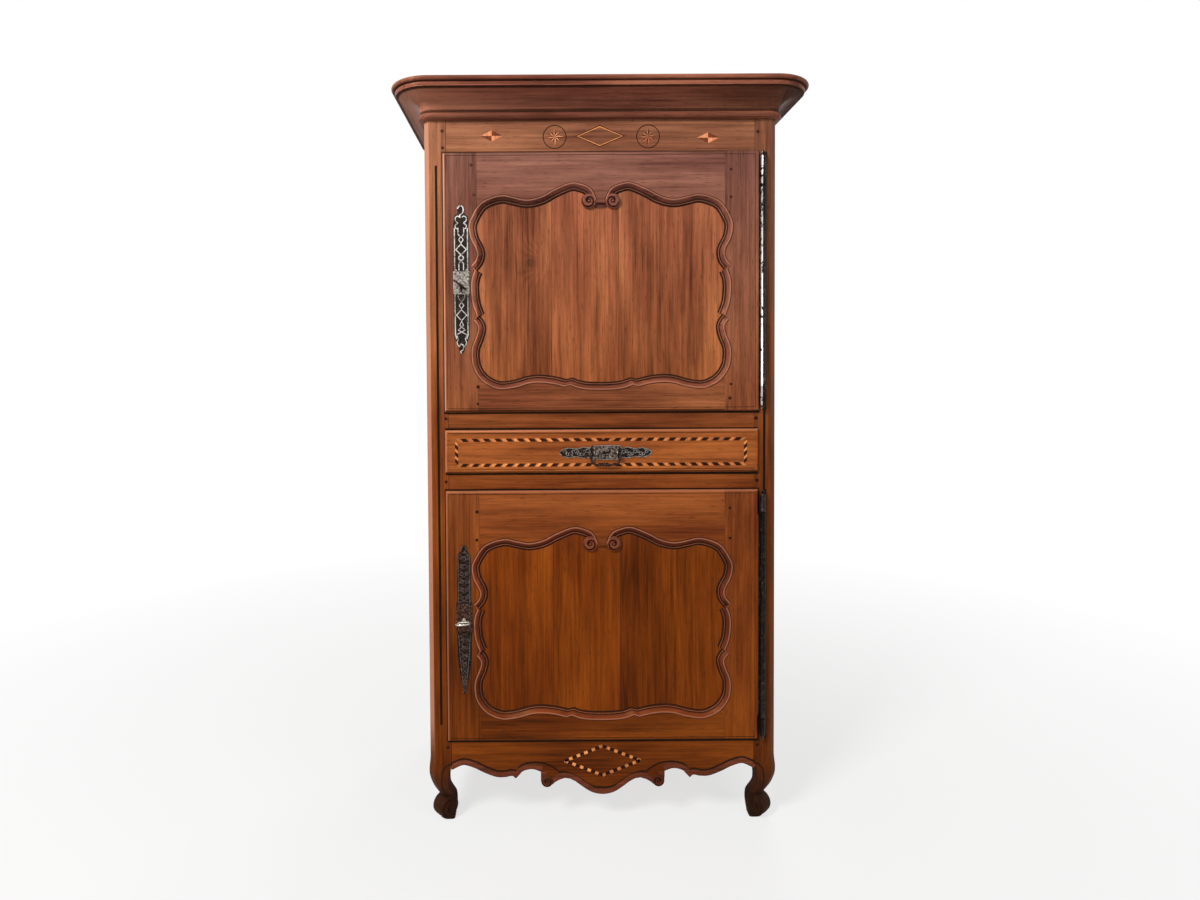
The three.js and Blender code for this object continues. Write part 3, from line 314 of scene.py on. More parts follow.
def colour_at(tree, z, colours):
    """The colour of a height, blended between the given ones, which lie at LEVELS."""
    ramp = add(tree, "ShaderNodeValToRGB", {0: spread(tree, z, LEVELS[0], LEVELS[-1])})
    stops = ramp.color_ramp.elements
    stops.remove(stops[1])
    for level, colour in zip(LEVELS, colours):
        share = (level - LEVELS[0]) / (LEVELS[-1] - LEVELS[0])
        stop = stops.new(share) if share else stops[0]
        stop.position, stop.color = share, linear(*colour)
    return ramp.outputs[0]


print("colour steps at", LEVELS, "m")

# %% [markdown]
# Growth rings come from one sum: how far a point of the board is from the heart of its trunk. The
# trunks lie side by side across the boards, and each heart wanders a little behind the surface. The
# sizes are in metres. A knot pulls the rings round itself, so it is added to the same distance.

# %% Growth rings
TRUNKS_PER_METRE, TRUNK_STEP, TRUNK_WIDTH = 4.3, 0.37, 0.16
HEART_DEPTH, HEART_WANDER, RING_WIDTH, RING_WOBBLE = 0.03, 0.16, 0.011, 0.009


def heart_distance(tree, moved, across, board):
    """How far each point is from the heart of its trunk."""
    trunk = plus(tree, times(tree, across, TRUNKS_PER_METRE), times(tree, board, TRUNK_STEP))
    side = times(tree, minus(tree, calc(tree, "FRACT", trunk), 0.5), TRUNK_WIDTH)
    wander = minus(tree, noise(tree, scaled(tree, moved, (6, 6, 1.1)), 1.0, 3.0), 0.5)
    heart = plus(tree, HEART_DEPTH, times(tree, wander, HEART_WANDER))
    wobble = noise(tree, scaled(tree, moved, (60, 60, 3)), 1.0, 3.0)
    return plus(tree, distance(tree, side, heart), times(tree, wobble, RING_WOBBLE))


def rings_at(tree, radius):
    """The rings at a distance from the heart: 0 between them, 1 on them."""
    ring = calc(tree, "FRACT", calc(tree, "DIVIDE", radius, RING_WIDTH))
    ring = minus(tree, 1.0, calc(tree, "ABSOLUTE", minus(tree, times(tree, ring, 2.0), 1.0)))
    return calc(tree, "POWER", ring, 2.0)


print("rings", RING_WIDTH * 1000, "mm apart, trunks", round(1 / TRUNKS_PER_METRE, 3), "m")

# %% [markdown]
# The finish itself. Each pattern is noise, much finer across the grain than along it, and the
# weights say how much each adds to the tone.

# %% Wood
BOARD_SHIFT, BOARD_TONE = 3.71, 0.618
TONE_RANGE = (0.10, 1.06, 0.24, 2.44)
KNOT_HEIGHT, KNOT_REACH, KNOT_PULL = 0.8, 3.2, 0.05
WAX_TINT, DULL_TINT = (1.0, 0.55, 0.28, 1), (0.76, 0.56, 0.68, 1)
PORE_COLOUR, JOINT_COLOUR = (0.03, 0.012, 0.006, 1), (0.025, 0.010, 0.006, 1)
# The pale colour of wear and painted highlights, and the near black of grime and painted shade.
WORN_AND_HIGHLIGHT_COLOUR, GRIME_AND_SHADE = linear(190, 132, 104), (0.012, 0.005, 0.003, 1)


def wood(name, colours, grain="z", joint=None, boards=(), knots=(), figure=1.0, shine=0.42,
         seams=()):
    """A waxed wood. Colours are one for all heights or one for each of LEVELS.

    Boards are the x of the joints in a panel, seams are joints that keep the same board, and knots
    are (x, z, size). Figure is how strong the rings are, shine how rough the wax is."""
    made, tree, surface = new_material(name)
    coords = add(tree, "ShaderNodeTexCoord").outputs["Object"]
    x, _, z = parts_of(tree, coords)
    board, soil_and_shading = (add(tree, "ShaderNodeAttribute", attribute_name=asked).outputs["Fac"]
                   for asked in ("board", "dirt"))
    # Above nought the attribute is grime and painted shade, below nought wear and painted
    # highlights.
    dirt, wear_and_highlight = larger(tree, soil_and_shading, 0.0), larger(tree, times(tree, soil_and_shading, -1.0), 0.0)
    for position in boards:
        board = plus(tree, board, calc(tree, "GREATER_THAN", x, position))
    lines = None
    for position in (*boards, *seams):
        gap = calc(tree, "ABSOLUTE", minus(tree, x, position))
        lines = larger(tree, lines, spread(tree, gap, 0.0004, 0.0013, 0.55, 0.0))
    across, depth, along = parts_of(tree, grain_vector(tree, coords, grain, joint))
    shift = times(tree, board, BOARD_SHIFT)
    moved = vector_of(tree, plus(tree, across, shift), depth, plus(tree, along, shift))

    def pattern(fine, coarse, detail, roughness, low, high):
        """Noise of a board, so fine across the grain and so coarse along it, from 0 to 1."""
        plain = noise(tree, scaled(tree, moved, (fine, fine, coarse)), 1.0, detail, roughness)
        return spread(tree, plain, low, high)

    radius = heart_distance(tree, moved, across, board)
    for knot_x, knot_z, size in knots:
        up = times(tree, minus(tree, z, knot_z), KNOT_HEIGHT)
        away = distance(tree, minus(tree, x, knot_x), up)
        near = spread(tree, away, 0.0, size * KNOT_REACH, 1.0, 0.0)
        radius = plus(tree, radius, times(tree, times(tree, near, near), KNOT_PULL))
        lines = larger(tree, lines, spread(tree, away, size * 0.25, size, 0.5, 0.0))
    ring = times(tree, rings_at(tree, radius), figure)

    # Tone: fibres, streaks, patches, blotches, the board's own one, less the rings.
    fibre = pattern(240, 7, 3.0, 0.65, 0.28, 0.72)
    pores = pattern(430, 34, 2.0, 0.5, 0.60, 0.70)
    patch = pattern(14, 2.4, 3.0, 0.6, 0.33, 0.69)
    streak = pattern(120, 3.0, 2.0, 0.55, 0.34, 0.68)
    blotch = pattern(5, 1.5, 2.0, 0.5, 0.37, 0.63)
    own = calc(tree, "FRACT", times(tree, board, BOARD_TONE))
    tone = 0.0
    for value, weight in ((patch, 0.30), (streak, 0.22), (fibre, 0.32), (blotch, 0.28), (own, 0.18),
                          (ring, -0.10)):
        tone = plus(tree, tone, times(tree, value, weight))
    bright = spread(tree, tone, *TONE_RANGE)
    bright = times(tree, bright, plus(tree, 1.0, times(tree, wear_and_highlight, 0.4)))

    # Colour: dull patches redder, then pores, joints and knots, wear and painted highlights, and
    # grime and painted shade on top.
    steps = (colours,) * len(LEVELS) if isinstance(colours[0], int) else colours
    lit = add(tree, "ShaderNodeVectorMath", {0: colour_at(tree, z, steps), "Scale": bright},
              operation="SCALE").outputs[0]
    dull = minus(tree, 1.0, times(tree, plus(tree, patch, blotch), 0.5))
    colour = blend_colour(tree, dull, lit, DULL_TINT, "MULTIPLY")
    colour = blend_colour(tree, times(tree, pores, 0.50), colour, PORE_COLOUR)
    if lines is not None:
        colour = blend_colour(tree, lines, colour, JOINT_COLOUR)
    # Wear and painted highlights pale the wood, grime and painted shade darken it.
    colour = blend_colour(tree, times(tree, wear_and_highlight, 0.5), colour, WORN_AND_HIGHLIGHT_COLOUR)
    spots = noise(tree, scaled(tree, coords, (60, 60, 60)), 1.0, 4.0, 0.7)
    grime_and_shade_share = times(tree, dirt, spread(tree, spots, 0.3, 0.55, 0.84, 1.0))
    tree.links.new(blend_colour(tree, grime_and_shade_share, colour, GRIME_AND_SHADE), surface.inputs["Base Color"])

    # Wax: a soft warm shine, rougher on pale fibres and in grime and painted shade, and a faint
    # relief.
    rough = plus(tree, shine, times(tree, minus(tree, fibre, 0.5), 0.16))
    rough = plus(tree, rough, times(tree, dirt, 0.25))
    tree.links.new(rough, surface.inputs["Roughness"])
    surface.inputs["Specular IOR Level"].default_value = 0.18
    surface.inputs["Specular Tint"].default_value = WAX_TINT
    relief = minus(tree, times(tree, fibre, 0.5), times(tree, pores, 0.6))
    bump = add(tree, "ShaderNodeBump", {"Height": relief, "Strength": 0.35, "Distance": 0.0004})
    tree.links.new(bump.outputs[0], surface.inputs["Normal"])
    return made


print("brightness runs from", TONE_RANGE[2], "to", TONE_RANGE[3], "times the colour")

# %% [markdown]
# The finishes. Doors, panels and carving each have their own run of colours up the cabinet; the
# inlays are small pieces of plain dark and light wood; the inside was never stained.

# %% Wooden finishes
FRAME_COLOURS = ((96, 46, 8), (104, 53, 14), (116, 63, 26), (124, 75, 42), (118, 78, 54))
DOOR_COLOURS = ((102, 50, 8), (106, 54, 18), (115, 64, 32), (120, 74, 48), (99, 68, 58))
PANEL_COLOURS = ((98, 45, 5), (102, 48, 7), (122, 65, 26), (134, 80, 46), (136, 84, 58))
CARVED_COLOURS = ((92, 42, 16), (96, 45, 24), (108, 58, 36), (122, 72, 52), (114, 73, 60))
PEG_COLOURS = ((26, 9, 5), (28, 10, 6), (34, 14, 10), (44, 22, 17), (50, 28, 24))
INSIDE_COLOUR = (150, 112, 74)
JOINT = 0.343
upright_wood = wood("cherry_upright", FRAME_COLOURS)
level_wood = wood("cherry_level", FRAME_COLOURS, grain="x")
door_upright = wood("cherry_door_upright", DOOR_COLOURS, figure=0.8)
door_level = wood("cherry_door_level", DOOR_COLOURS, grain="x", figure=0.8)
panel_wood = wood("cherry_panel", PANEL_COLOURS, boards=(-0.137, 0.050),
                  knots=((-0.192, 1.585, 0.021),), figure=1.05)
drawer_wood = wood("cherry_drawer", (124, 69, 31), grain="x", figure=1.2)
carved_wood = wood("cherry_carved", CARVED_COLOURS, grain="door", joint=JOINT, figure=0.4,
                   seams=(-JOINT, JOINT))
cornice_wood = wood("cherry_cornice", (136, 86, 64), grain="wrap", joint=0.5, figure=0.5)
side_wood = wood("cherry_side", FRAME_COLOURS, grain="y")
apron_carved = wood("cherry_apron_carved", (106, 57, 36), grain="x", figure=0.4)
peg_wood = wood("cherry_peg", PEG_COLOURS, figure=0.3)
dark_inlay = wood("inlay_dark", (30, 13, 9), figure=0.2, shine=0.5)
# Black for the post lines, and for the strips of painted shade round the fronts and by the hinges.
black_line = wood("inlay_black", (8, 4, 3), figure=0.1, shine=0.6)
light_inlay = wood("inlay_light", (182, 118, 66), figure=0.3, shine=0.5)
pale_inlay = wood("inlay_pale", (180, 118, 80), figure=0.3, shine=0.5)
brown_inlay = wood("inlay_brown", (84, 44, 28), figure=0.2, shine=0.5)
inside_back = wood("inside_back", INSIDE_COLOUR, boards=(-0.283, -0.118, 0.094, 0.247), shine=0.65)
inside_level = wood("inside_level", INSIDE_COLOUR, grain="x", shine=0.65)
inside_deep = wood("inside_deep", INSIDE_COLOUR, grain="y", shine=0.65)
wooden = [m.name for m in bpy.data.materials if m.name.startswith(("cherry", "in"))]
print("wooden finishes:", len(wooden))

# %% [markdown]
# Old iron has several looks here. The upper door's plate is rubbed bright by hands and rags; the
# lower door's plate, the lock cases, the bolts and the pins are dark and half rusted; the drawer's
# plate lies between them. The handle, the upper key and the grounds of the plates are black, the
# lower key is pale, and the hinges are smooth and nearly black. Where the mesh attribute of grime
# and shading is above nought, iron is darker: at the foot of the bars, and with painted shade on
# the grounds. Below nought it is polished: worn bright on the plates' bars, and with a painted
# highlight down the left of the upper hinges.

# %% Iron


def iron(name, dark, bright, share, rough, hammered=0.5):
    """Forged iron: dark and bright patches, a little rust, and a hammered surface.

    Share is how much of it is bright, rough how dull the bright patches are."""
    made, tree, surface = new_material(name)
    coords = add(tree, "ShaderNodeTexCoord").outputs["Object"]
    dirt = add(tree, "ShaderNodeAttribute", attribute_name="dirt").outputs["Fac"]
    patches = noise(tree, coords, 160.0, 4.0, 0.65)
    worn = spread(tree, patches, 0.62 - share * 0.4, 0.78 - share * 0.4)
    colour = blend_colour(tree, worn, (*dark, 1), (*bright, 1))
    rusty = spread(tree, noise(tree, coords, 90.0, 3.0, 0.6), 0.56, 0.68, 0.0, 0.55)
    colour = blend_colour(tree, rusty, colour, (0.09, 0.035, 0.015, 1))
    # Darkened above nought, painted shade on the grounds; polished below, wear on bars, a painted
    # highlight on hinges.
    colour = blend_colour(tree, dirt, colour, (0.012, 0.008, 0.006, 1))
    patchy = spread(tree, noise(tree, coords, 75.0, 3.0, 0.6), 0.40, 0.46)
    polish_and_highlight = times(tree, larger(tree, times(tree, dirt, -1.0), 0.0), patchy)
    colour = blend_colour(tree, polish_and_highlight, colour, (0.80, 0.77, 0.72, 1))
    tree.links.new(colour, surface.inputs["Base Color"])
    tree.links.new(spread(tree, worn, 0.0, 1.0, rough + 0.16, rough), surface.inputs["Roughness"])
    tree.links.new(times(tree, 0.9, minus(tree, 1.0, rusty)), surface.inputs["Metallic"])
    hammer = noise(tree, coords, 420.0, 3.0, 0.6)
    bump = add(tree, "ShaderNodeBump", {
        "Height": hammer, "Strength": hammered, "Distance": 0.0006})
    tree.links.new(bump.outputs[0], surface.inputs["Normal"])
    return made


dark_iron = iron("dark_iron", (0.031, 0.014, 0.009), (0.195, 0.098, 0.070), 0.34, 0.34)
bright_iron = iron("bright_iron", (0.08, 0.068, 0.056), (0.42, 0.385, 0.345), 0.50, 0.30)
black_iron = iron("black_iron", (0.024, 0.013, 0.010), (0.085, 0.055, 0.045), 0.25, 0.36)
key_iron = iron("key_iron", (0.16, 0.14, 0.12), (0.60, 0.56, 0.50), 0.70, 0.26)
hinge_iron = iron("hinge_iron", (0.010, 0.009, 0.008), (0.06, 0.052, 0.045), 0.2, 0.2, 0.04)
lace_iron = iron("lace_iron", (0.026, 0.017, 0.013), (0.38, 0.31, 0.26), 0.40, 0.28)
print("iron finishes:", len([m for m in bpy.data.materials if m.name.endswith("_iron")]))

# %% [markdown]
# Every piece is built as a bmesh, written into a mesh, and finished as a piece that rides on its
# moving body. A running number gives each board its own place in the grain.

# %% From shape to piece
BOARD_STEP = 0.77
nodes = frame["nodes"]
bodies = frame["record"]["behaviour"]["bodies"]
body_of_node = {n: b for b, members in bodies.items() for n in members}
slot_of_node = {s["node"]: s["material_slot"] for s in frame["record"]["subparts"]}
board_count = 0


def fresh_shape():
    """An empty bmesh and its layer of grime and painted shading."""
    bm = bmesh.new()
    return bm, bm.verts.layers.float.new("dirt")


def finish_mesh(mesh, bm, crease=32):
    """Writes a bmesh into a mesh, smooth except where faces meet at more than the crease."""
    bmesh.ops.recalc_face_normals(bm, faces=bm.faces)
    bm.to_mesh(mesh)
    bm.free()
    mesh.shade_smooth()
    mesh.set_sharp_from_angle(angle=math.radians(crease))


def steer(mesh, name, values):
    """Sets one of the attributes that the finishes read, as one value or one for each point."""
    layer = mesh.attributes.new(name, "FLOAT", "POINT")
    single = isinstance(values, (int, float))
    layer.data.foreach_set("value", [values] * len(mesh.vertices) if single else list(values))


def new_piece(name, mesh, material, body, slot="frame_wood", replaced=()):
    """Links an object for a finished mesh and lets it ride on its body."""
    global board_count
    piece = bpy.data.objects.new(name, mesh)
    scene.collection.objects.link(piece)
    if not mesh.materials:
        mesh.materials.append(material)
    if "board" not in mesh.attributes:
        board_count += 1
        steer(mesh, "board", board_count * BOARD_STEP)
    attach(piece, body)
    if replaced:
        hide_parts(*replaced)
    return piece


def finished(name, bm, material, body, slot="frame_wood", replaced=(), crease=40):
    """Makes a piece of a bmesh."""
    mesh = bpy.data.meshes.new(name)
    finish_mesh(mesh, bm, crease)
    return new_piece(name, mesh, material, body, slot, replaced)


def stand_in(name, bm, material, node, crease=40):
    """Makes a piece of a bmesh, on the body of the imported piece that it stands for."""
    return finished(name, bm, material, body_of_node[node], slot_of_node[node], (node,), crease)


# %% [markdown]
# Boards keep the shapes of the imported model. A packed board is loose triangles with knife-sharp
# edges, which no light catches, so each visible one is copied, its triangles are merged into whole
# faces, and its long edges are rounded: by half a millimetre, and by much more along the lip that
# runs round each door and the drawer front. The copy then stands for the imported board.

# %% Softened copies of boards
LIP, LIP_BAND = 0.007, 0.0065
BED_AS_PACKED, BED_DEPTH = 0.003, 0.0064


def merged_copy(node):
    """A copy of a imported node's mesh as a bmesh with whole faces."""
    bm = bmesh.new()
    bm.from_mesh(nodes[node].data)
    bmesh.ops.remove_doubles(bm, verts=bm.verts, dist=2e-6)
    flat = math.radians(0.6)
    bmesh.ops.dissolve_limit(bm, angle_limit=flat, verts=bm.verts, edges=bm.edges)
    return bm


def round_edges(bm, width, segments, chosen):
    """Rounds the long sharp edges for which chosen(edge) holds."""
    picked = [e for e in bm.edges if len(e.link_faces) == 2 and e.calc_length() > 0.02
              and e.calc_face_angle(0) > math.radians(35) and chosen(e)]
    bmesh.ops.bevel(bm, geom=picked, offset=width, segments=segments, profile=0.5,
                    affect="EDGES", clamp_overlap=True)


def paint_lip_light_and_shade(bm, front, soil_and_shading):
    """Paints shade and highlights on the lip round a front, side by side: left, right, bottom, top.
    """
    dirt = bm.loops.layers.float.new("dirt")
    bm.normal_update()
    for face in bm.faces:
        spot, way = face.calc_center_median(), face.normal
        sides = ((spot.x + front["half"], -way.x), (front["half"] - spot.x, way.x),
                 (spot.z - front["sill"], -way.z), (front["top"] - spot.z, way.z))
        for amount, (inset, outward) in zip(soil_and_shading, sides):
            if inset < LIP_BAND and outward > 0.3 and way.y < -0.1:
                for loop in face.loops:
                    loop[dirt] = amount


def softened(node, material, width=0.0006, lip=None, front=None, soil_and_shading=None, board=None):
    """Replaces a packed board by a copy with rounded edges.

    Lip is the test for the edges that take the wide round. Front tells where the whole door or
    drawer front lies: the bed of its moulding is cut deeper, and its lip gets the given painted
    light and shade."""
    bm = merged_copy(node)
    if front:
        for vert in bm.verts:
            if abs(vert.co.y - front["face"] - BED_AS_PACKED) < 2e-4:
                vert.co.y = front["face"] + BED_DEPTH
    if lip:
        round_edges(bm, LIP, 5, lip)
    round_edges(bm, width, 2, lambda e: not lip or not lip(e))
    # The lip gets painted light and shade.
    if front:
        paint_lip_light_and_shade(bm, front, soil_and_shading)
    mesh = bpy.data.meshes.new(node + "_board")
    finish_mesh(mesh, bm)
    for polygon in mesh.polygons:
        if max(abs(part) for part in polygon.normal) > 0.9998:
            polygon.use_smooth = False
    if board is not None:
        steer(mesh, "board", board)
    new_piece(node + "_board", mesh, material, body_of_node[node], slot_of_node[node], (node,))


print("lips are rounded by", LIP * 1000, "mm")

# %% [markdown]
# The plain boards, outside and inside. Their order gives each its place in the grain.

# %% Plain boards
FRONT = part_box("rail_above_drawer")[0].y
for node in ("rail_above_drawer", "rail_below_drawer", "frieze_rail"):
    softened(node, level_wood)
for side in ("left", "right"):
    softened(f"back_stile_{side}", upright_wood)
    softened(f"side_top_rail_{side}", side_wood)
    softened(f"side_bottom_rail_{side}", side_wood)
    softened(f"side_panel_{side}", upright_wood)
for finish, members in (
        (inside_level, ("back_top_rail", "back_bottom_rail")), (inside_back, ("back_panel",)),
        (inside_level, ("top_board", "upper_shelf", "upper_floor", "bottom_board")),
        (inside_deep, ("drawer_runner_left", "drawer_runner_right", "drawer_side_left",
                       "drawer_side_right")), (inside_level, ("drawer_bottom", "drawer_back"))):
    for node in members:
        softened(node, finish)
print("plain boards:", board_count)

# %% [markdown]
# Door frames and the drawer front close over the carcass with a lip whose edge is a wide quarter
# round. It shows in the photograph as a pale strip of light down the left of each door. Only edges
# on the outline of the whole door may take it, so the test looks at where an edge lies. The panels
# have board numbers of their own, and the upper hinge stile is a paler board than its neighbours.

# %% Door frames and drawer front
# Painted light and shade on each lip, left, right, bottom and top: a painted highlight below
# nought, painted shade above.
LIP_LIGHT_AND_SHADE = {"upper": (-1.9, -0.5, 0.6, 0.2), "lower": (-0.6, 0.1, 0.6, -0.6),
            "drawer": (-0.9, 0.1, 0.6, -0.8)}
PANEL_BOARD = {"upper": 8.1, "lower": 1.456}
PALE_BOARD = 22.02


def front_of(node):
    """Where a front lies, told by a board that reaches its right, lower and upper edges."""
    low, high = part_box(node)
    return {"sill": low.z, "top": high.z, "half": high.x, "face": low.y}


def on_outline(front):
    """A test for edges that run along the outline of a front."""
    def close(value, wanted):
        return abs(value - wanted) < 1e-4

    def test(edge):
        a, b = (v.co for v in edge.verts)
        if not close(a.y, front["face"]) or not close(b.y, front["face"]):
            return False
        beside = close(abs(a.x), front["half"]) and close(abs(b.x), front["half"])
        return beside or any(close(a.z, z) and close(b.z, z)
                             for z in (front["sill"], front["top"]))
    return test


DOORS = {word: front_of(f"{word}_door_hinge_stile") for word in ("upper", "lower")}
DRAWER = front_of("drawer_front")
for word, door in DOORS.items():
    for part, finish in (("hinge_stile", door_upright), ("lock_stile", door_upright),
                         ("top_rail", door_level), ("bottom_rail", door_level)):
        softened(f"{word}_door_{part}", finish, lip=on_outline(door), front=door,
                 soil_and_shading=LIP_LIGHT_AND_SHADE[word])
    softened(f"{word}_door_panel", panel_wood, board=PANEL_BOARD[word])
softened("drawer_front", drawer_wood, lip=on_outline(DRAWER), front=DRAWER,
         soil_and_shading=LIP_LIGHT_AND_SHADE["drawer"])
stile = bpy.data.meshes["upper_door_hinge_stile_board"]
stile.attributes["board"].data.foreach_set("value", [PALE_BOARD] * len(stile.vertices))
print("doors:", {w: [round(v, 4) for v in d.values()] for w, d in DOORS.items()})

# %% [markdown]
# Lines that the shapes below share: an arc, a smooth line through points, and rounded corners.

# %% Lines


def arc(centre, radii, start=0, end=360, steps=24):
    """Points of an ellipse's arc between two angles in degrees."""
    turns = [math.radians(start + (end - start) * k / steps) for k in range(steps + 1)]
    return [(centre[0] + radii[0] * math.cos(t), centre[1] + radii[1] * math.sin(t)) for t in turns]


def ring_of(x, z, radius, count):
    """Points round a circle, each once."""
    return arc((x, z), (radius, radius), steps=count)[:-1]


def smooth_through(points, steps):
    """Points of a smooth line through the given ones."""
    made = []
    last = len(points) - 1
    for k in range(steps + 1):
        at = last * k / steps
        i = min(int(at), last)
        t = at - i
        a, b, c, d = (Vector(points[max(0, min(last, j))]) for j in range(i - 1, i + 3))
        ease_in, ease_out = (c - a) / 2, (d - b) / 2
        made.append((2 * b - 2 * c + ease_in + ease_out) * t ** 3
                    + (3 * c - 3 * b - 2 * ease_in - ease_out) * t ** 2 + ease_in * t + b)
    return made


def rounded(points, radius, steps=4):
    """A closed outline with its corners rounded, each by the same count of points."""
    made = []
    for k, corner in enumerate(points):
        corner = Vector(corner)
        before = Vector(points[k - 1]) - corner
        after = Vector(points[(k + 1) % len(points)]) - corner
        reach = min(radius, before.length * 0.45, after.length * 0.45)
        a, b = corner + before.normalized() * reach, corner + after.normalized() * reach
        made += [a.lerp(corner, s).lerp(corner.lerp(b, s), s)
                 for s in (i / (steps - 1) for i in range(steps))]
    return made


print("a quarter round:", [round(x, 2) for x, _ in arc((0, 0), (1, 1), 0, 90, 4)])

# %% [markdown]
# Geometry Nodes make what is swept or repeated. A tree takes a mesh of points and lines and a few
# named inputs, and gives back a plain mesh.

# %% Trees


def tree_with(name, inputs):
    """An empty geometry tree with inputs as name: kind, its inputs' sockets and its last node."""
    tree = bpy.data.node_groups.new(name, "GeometryNodeTree")
    geometry = "NodeSocketGeometry"
    tree.interface.new_socket("Geometry", in_out="INPUT", socket_type=geometry)
    for label, kind in inputs.items():
        tree.interface.new_socket(label, in_out="INPUT", socket_type=f"NodeSocket{kind}")
    tree.interface.new_socket("Geometry", in_out="OUTPUT", socket_type=geometry)
    return tree, tree.nodes.new("NodeGroupInput").outputs, tree.nodes.new("NodeGroupOutput")


def close_tree(tree, given, result, geometry):
    """Ends a tree: copies are made real, and get the finish that the inputs name."""
    plain = add(tree, "GeometryNodeRealizeInstances", {0: geometry})
    coated = add(tree, "GeometryNodeSetMaterial", {
        "Geometry": plain.outputs[0], "Material": given["Finish"]})
    tree.links.new(coated.outputs[0], result.inputs[0])


def run_tree(tree, host_mesh, values):
    """Runs a tree on a mesh with the given inputs and returns the result as a plain mesh."""
    host = bpy.data.objects.new(tree.name + "_host", host_mesh)
    scene.collection.objects.link(host)
    modifier = host.modifiers.new(tree.name, "NODES")
    modifier.node_group = tree
    for item in tree.interface.items_tree:
        if item.in_out == "INPUT" and item.name in values:
            modifier[item.identifier] = values[item.name]
    graph = bpy.context.evaluated_depsgraph_get()
    made = bpy.data.meshes.new_from_object(host.evaluated_get(graph))
    bpy.data.objects.remove(host)
    return made


def line_mesh(name, *lines):
    """A mesh of open lines, each with its own value of the attribute line."""
    verts, edges, marks = [], [], []
    for mark, points in enumerate(lines):
        edges += [(len(verts) + k, len(verts) + k + 1) for k in range(len(points) - 1)]
        verts += [tuple(p) for p in points]
        marks += [mark] * len(points)
    mesh = bpy.data.meshes.new(name)
    mesh.from_pydata(verts, edges, [])
    steer(mesh, "line", marks)
    return mesh


print("a tree's calls:", [call.__name__ for call in (tree_with, close_tree, run_tree)])

# %% [markdown]
# The cornice is one moulding that runs from the back of the left side round the front to the back
# of the right side, with rounded corners: a profile swept along a path. The tree takes a mesh that
# holds both lines, tells them apart by the attribute line and sweeps one along the other. The
# profile is in shares, from the foot up: a round, a cove, small steps, a bead and a top round.

# %% Cornice
CORNICE_LOW, CORNICE_TOP = (corner.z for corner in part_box("cornice_front"))
CORNICE_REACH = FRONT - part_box("cornice_front")[0].y
BODY_HALF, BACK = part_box("back_stile_right")[1].xy
CORNER = 0.024
BACKING = -0.02
CORNICE_HOLLOWS = ((0.19, 0.27), (0.68, 0.73), (0.85, 0.87))
profile = [(0.0, 0.0)] + arc((0.095, 0.1), (0.095, 0.1), -90, 90, 10) + [(0.13, 0.2)]
profile += arc((0.8, 0.25), (-0.67, 0.43), 0, 90, 16)
profile += [(0.8, 0.715), (0.815, 0.72), (0.86, 0.722), (0.872, 0.73), (0.872, 0.75)]
profile += [(0.872 + 0.022 * math.sin(math.pi * k / 6), 0.75 + 0.1 * k / 6) for k in range(1, 6)]
profile += [(0.875, 0.862), (0.9, 0.868)] + arc((0.93, 0.935), (0.07, 0.065), -90, 90, 8)
profile += [(0.0, 1.0), (BACKING, 1.0), (BACKING, 0.0), (0, 0)]

plan = [(-BODY_HALF, BACK)]
for side in (-1, 1):
    turn = arc((side * (BODY_HALF - CORNER), FRONT + CORNER), (side * CORNER, -CORNER), 0, 90, 12)
    plan += turn if side < 0 else turn[::-1]
plan.append((BODY_HALF, BACK))

sweep_tree, given, result = tree_with(
    "sweep_profile", {"Reach": "Float", "Height": "Float", "Finish": "Material"})
mark = add(sweep_tree, "GeometryNodeInputNamedAttribute", {"Name": "line"}, data_type="FLOAT")
apart = add(sweep_tree, "GeometryNodeSeparateGeometry", {
    "Geometry": given["Geometry"],
    "Selection": calc(sweep_tree, "GREATER_THAN", mark.outputs[0], 0.5)})
path = add(sweep_tree, "GeometryNodeMeshToCurve", {0: apart.outputs[1]})
path = add(sweep_tree, "GeometryNodeSetCurveNormal", {0: path.outputs[0]}, mode="Z_UP")
size = vector_of(sweep_tree, given["Reach"], times(sweep_tree, given["Height"], -1.0), 1.0)
outline = add(sweep_tree, "GeometryNodeTransform", {"Geometry": apart.outputs[0], "Scale": size})
outline = add(sweep_tree, "GeometryNodeMeshToCurve", {0: outline.outputs[0]})
swept = add(sweep_tree, "GeometryNodeCurveToMesh", {
    "Curve": path.outputs[0], "Profile Curve": outline.outputs[0], "Fill Caps": True})
close_tree(sweep_tree, given, result, swept.outputs[0])


def cornice_shading(x, height):
    """Painted shade in the hollows and on the lowest round; across the cove, a painted highlight
    left, shade right.
    """
    if any(low < height < high for low, high in CORNICE_HOLLOWS):
        return 0.85
    if height < CORNICE_HOLLOWS[0][0]:
        return 0.3
    return 1.4 * x if height < CORNICE_HOLLOWS[1][0] else 0.0


lines = line_mesh("cornice_lines", [(x, y, CORNICE_LOW) for x, y in plan],
                  [(out, rise, 0) for out, rise in profile])
cornice_rise = CORNICE_TOP - CORNICE_LOW
cornice = run_tree(sweep_tree, lines, {
    "Reach": CORNICE_REACH, "Height": cornice_rise, "Finish": cornice_wood})
bm = bmesh.new()
bm.from_mesh(cornice)
bmesh.ops.remove_doubles(bm, verts=bm.verts, dist=1e-6)
finish_mesh(cornice, bm, 28)
# Painted shade in the hollows and on the lowest round; on the cove, a painted highlight left and
# painted shade right.
steer(cornice, "dirt", [cornice_shading(v.co.x, (v.co.z - CORNICE_LOW) / cornice_rise)
                        for v in cornice.vertices])
new_piece("cornice", cornice, cornice_wood, "carcass", "frame_wood",
          ("cornice_front", "cornice_side_left", "cornice_side_right"))
print("cornice:", round(cornice_rise, 3), "m high,", len(plan), "sections of", len(profile))

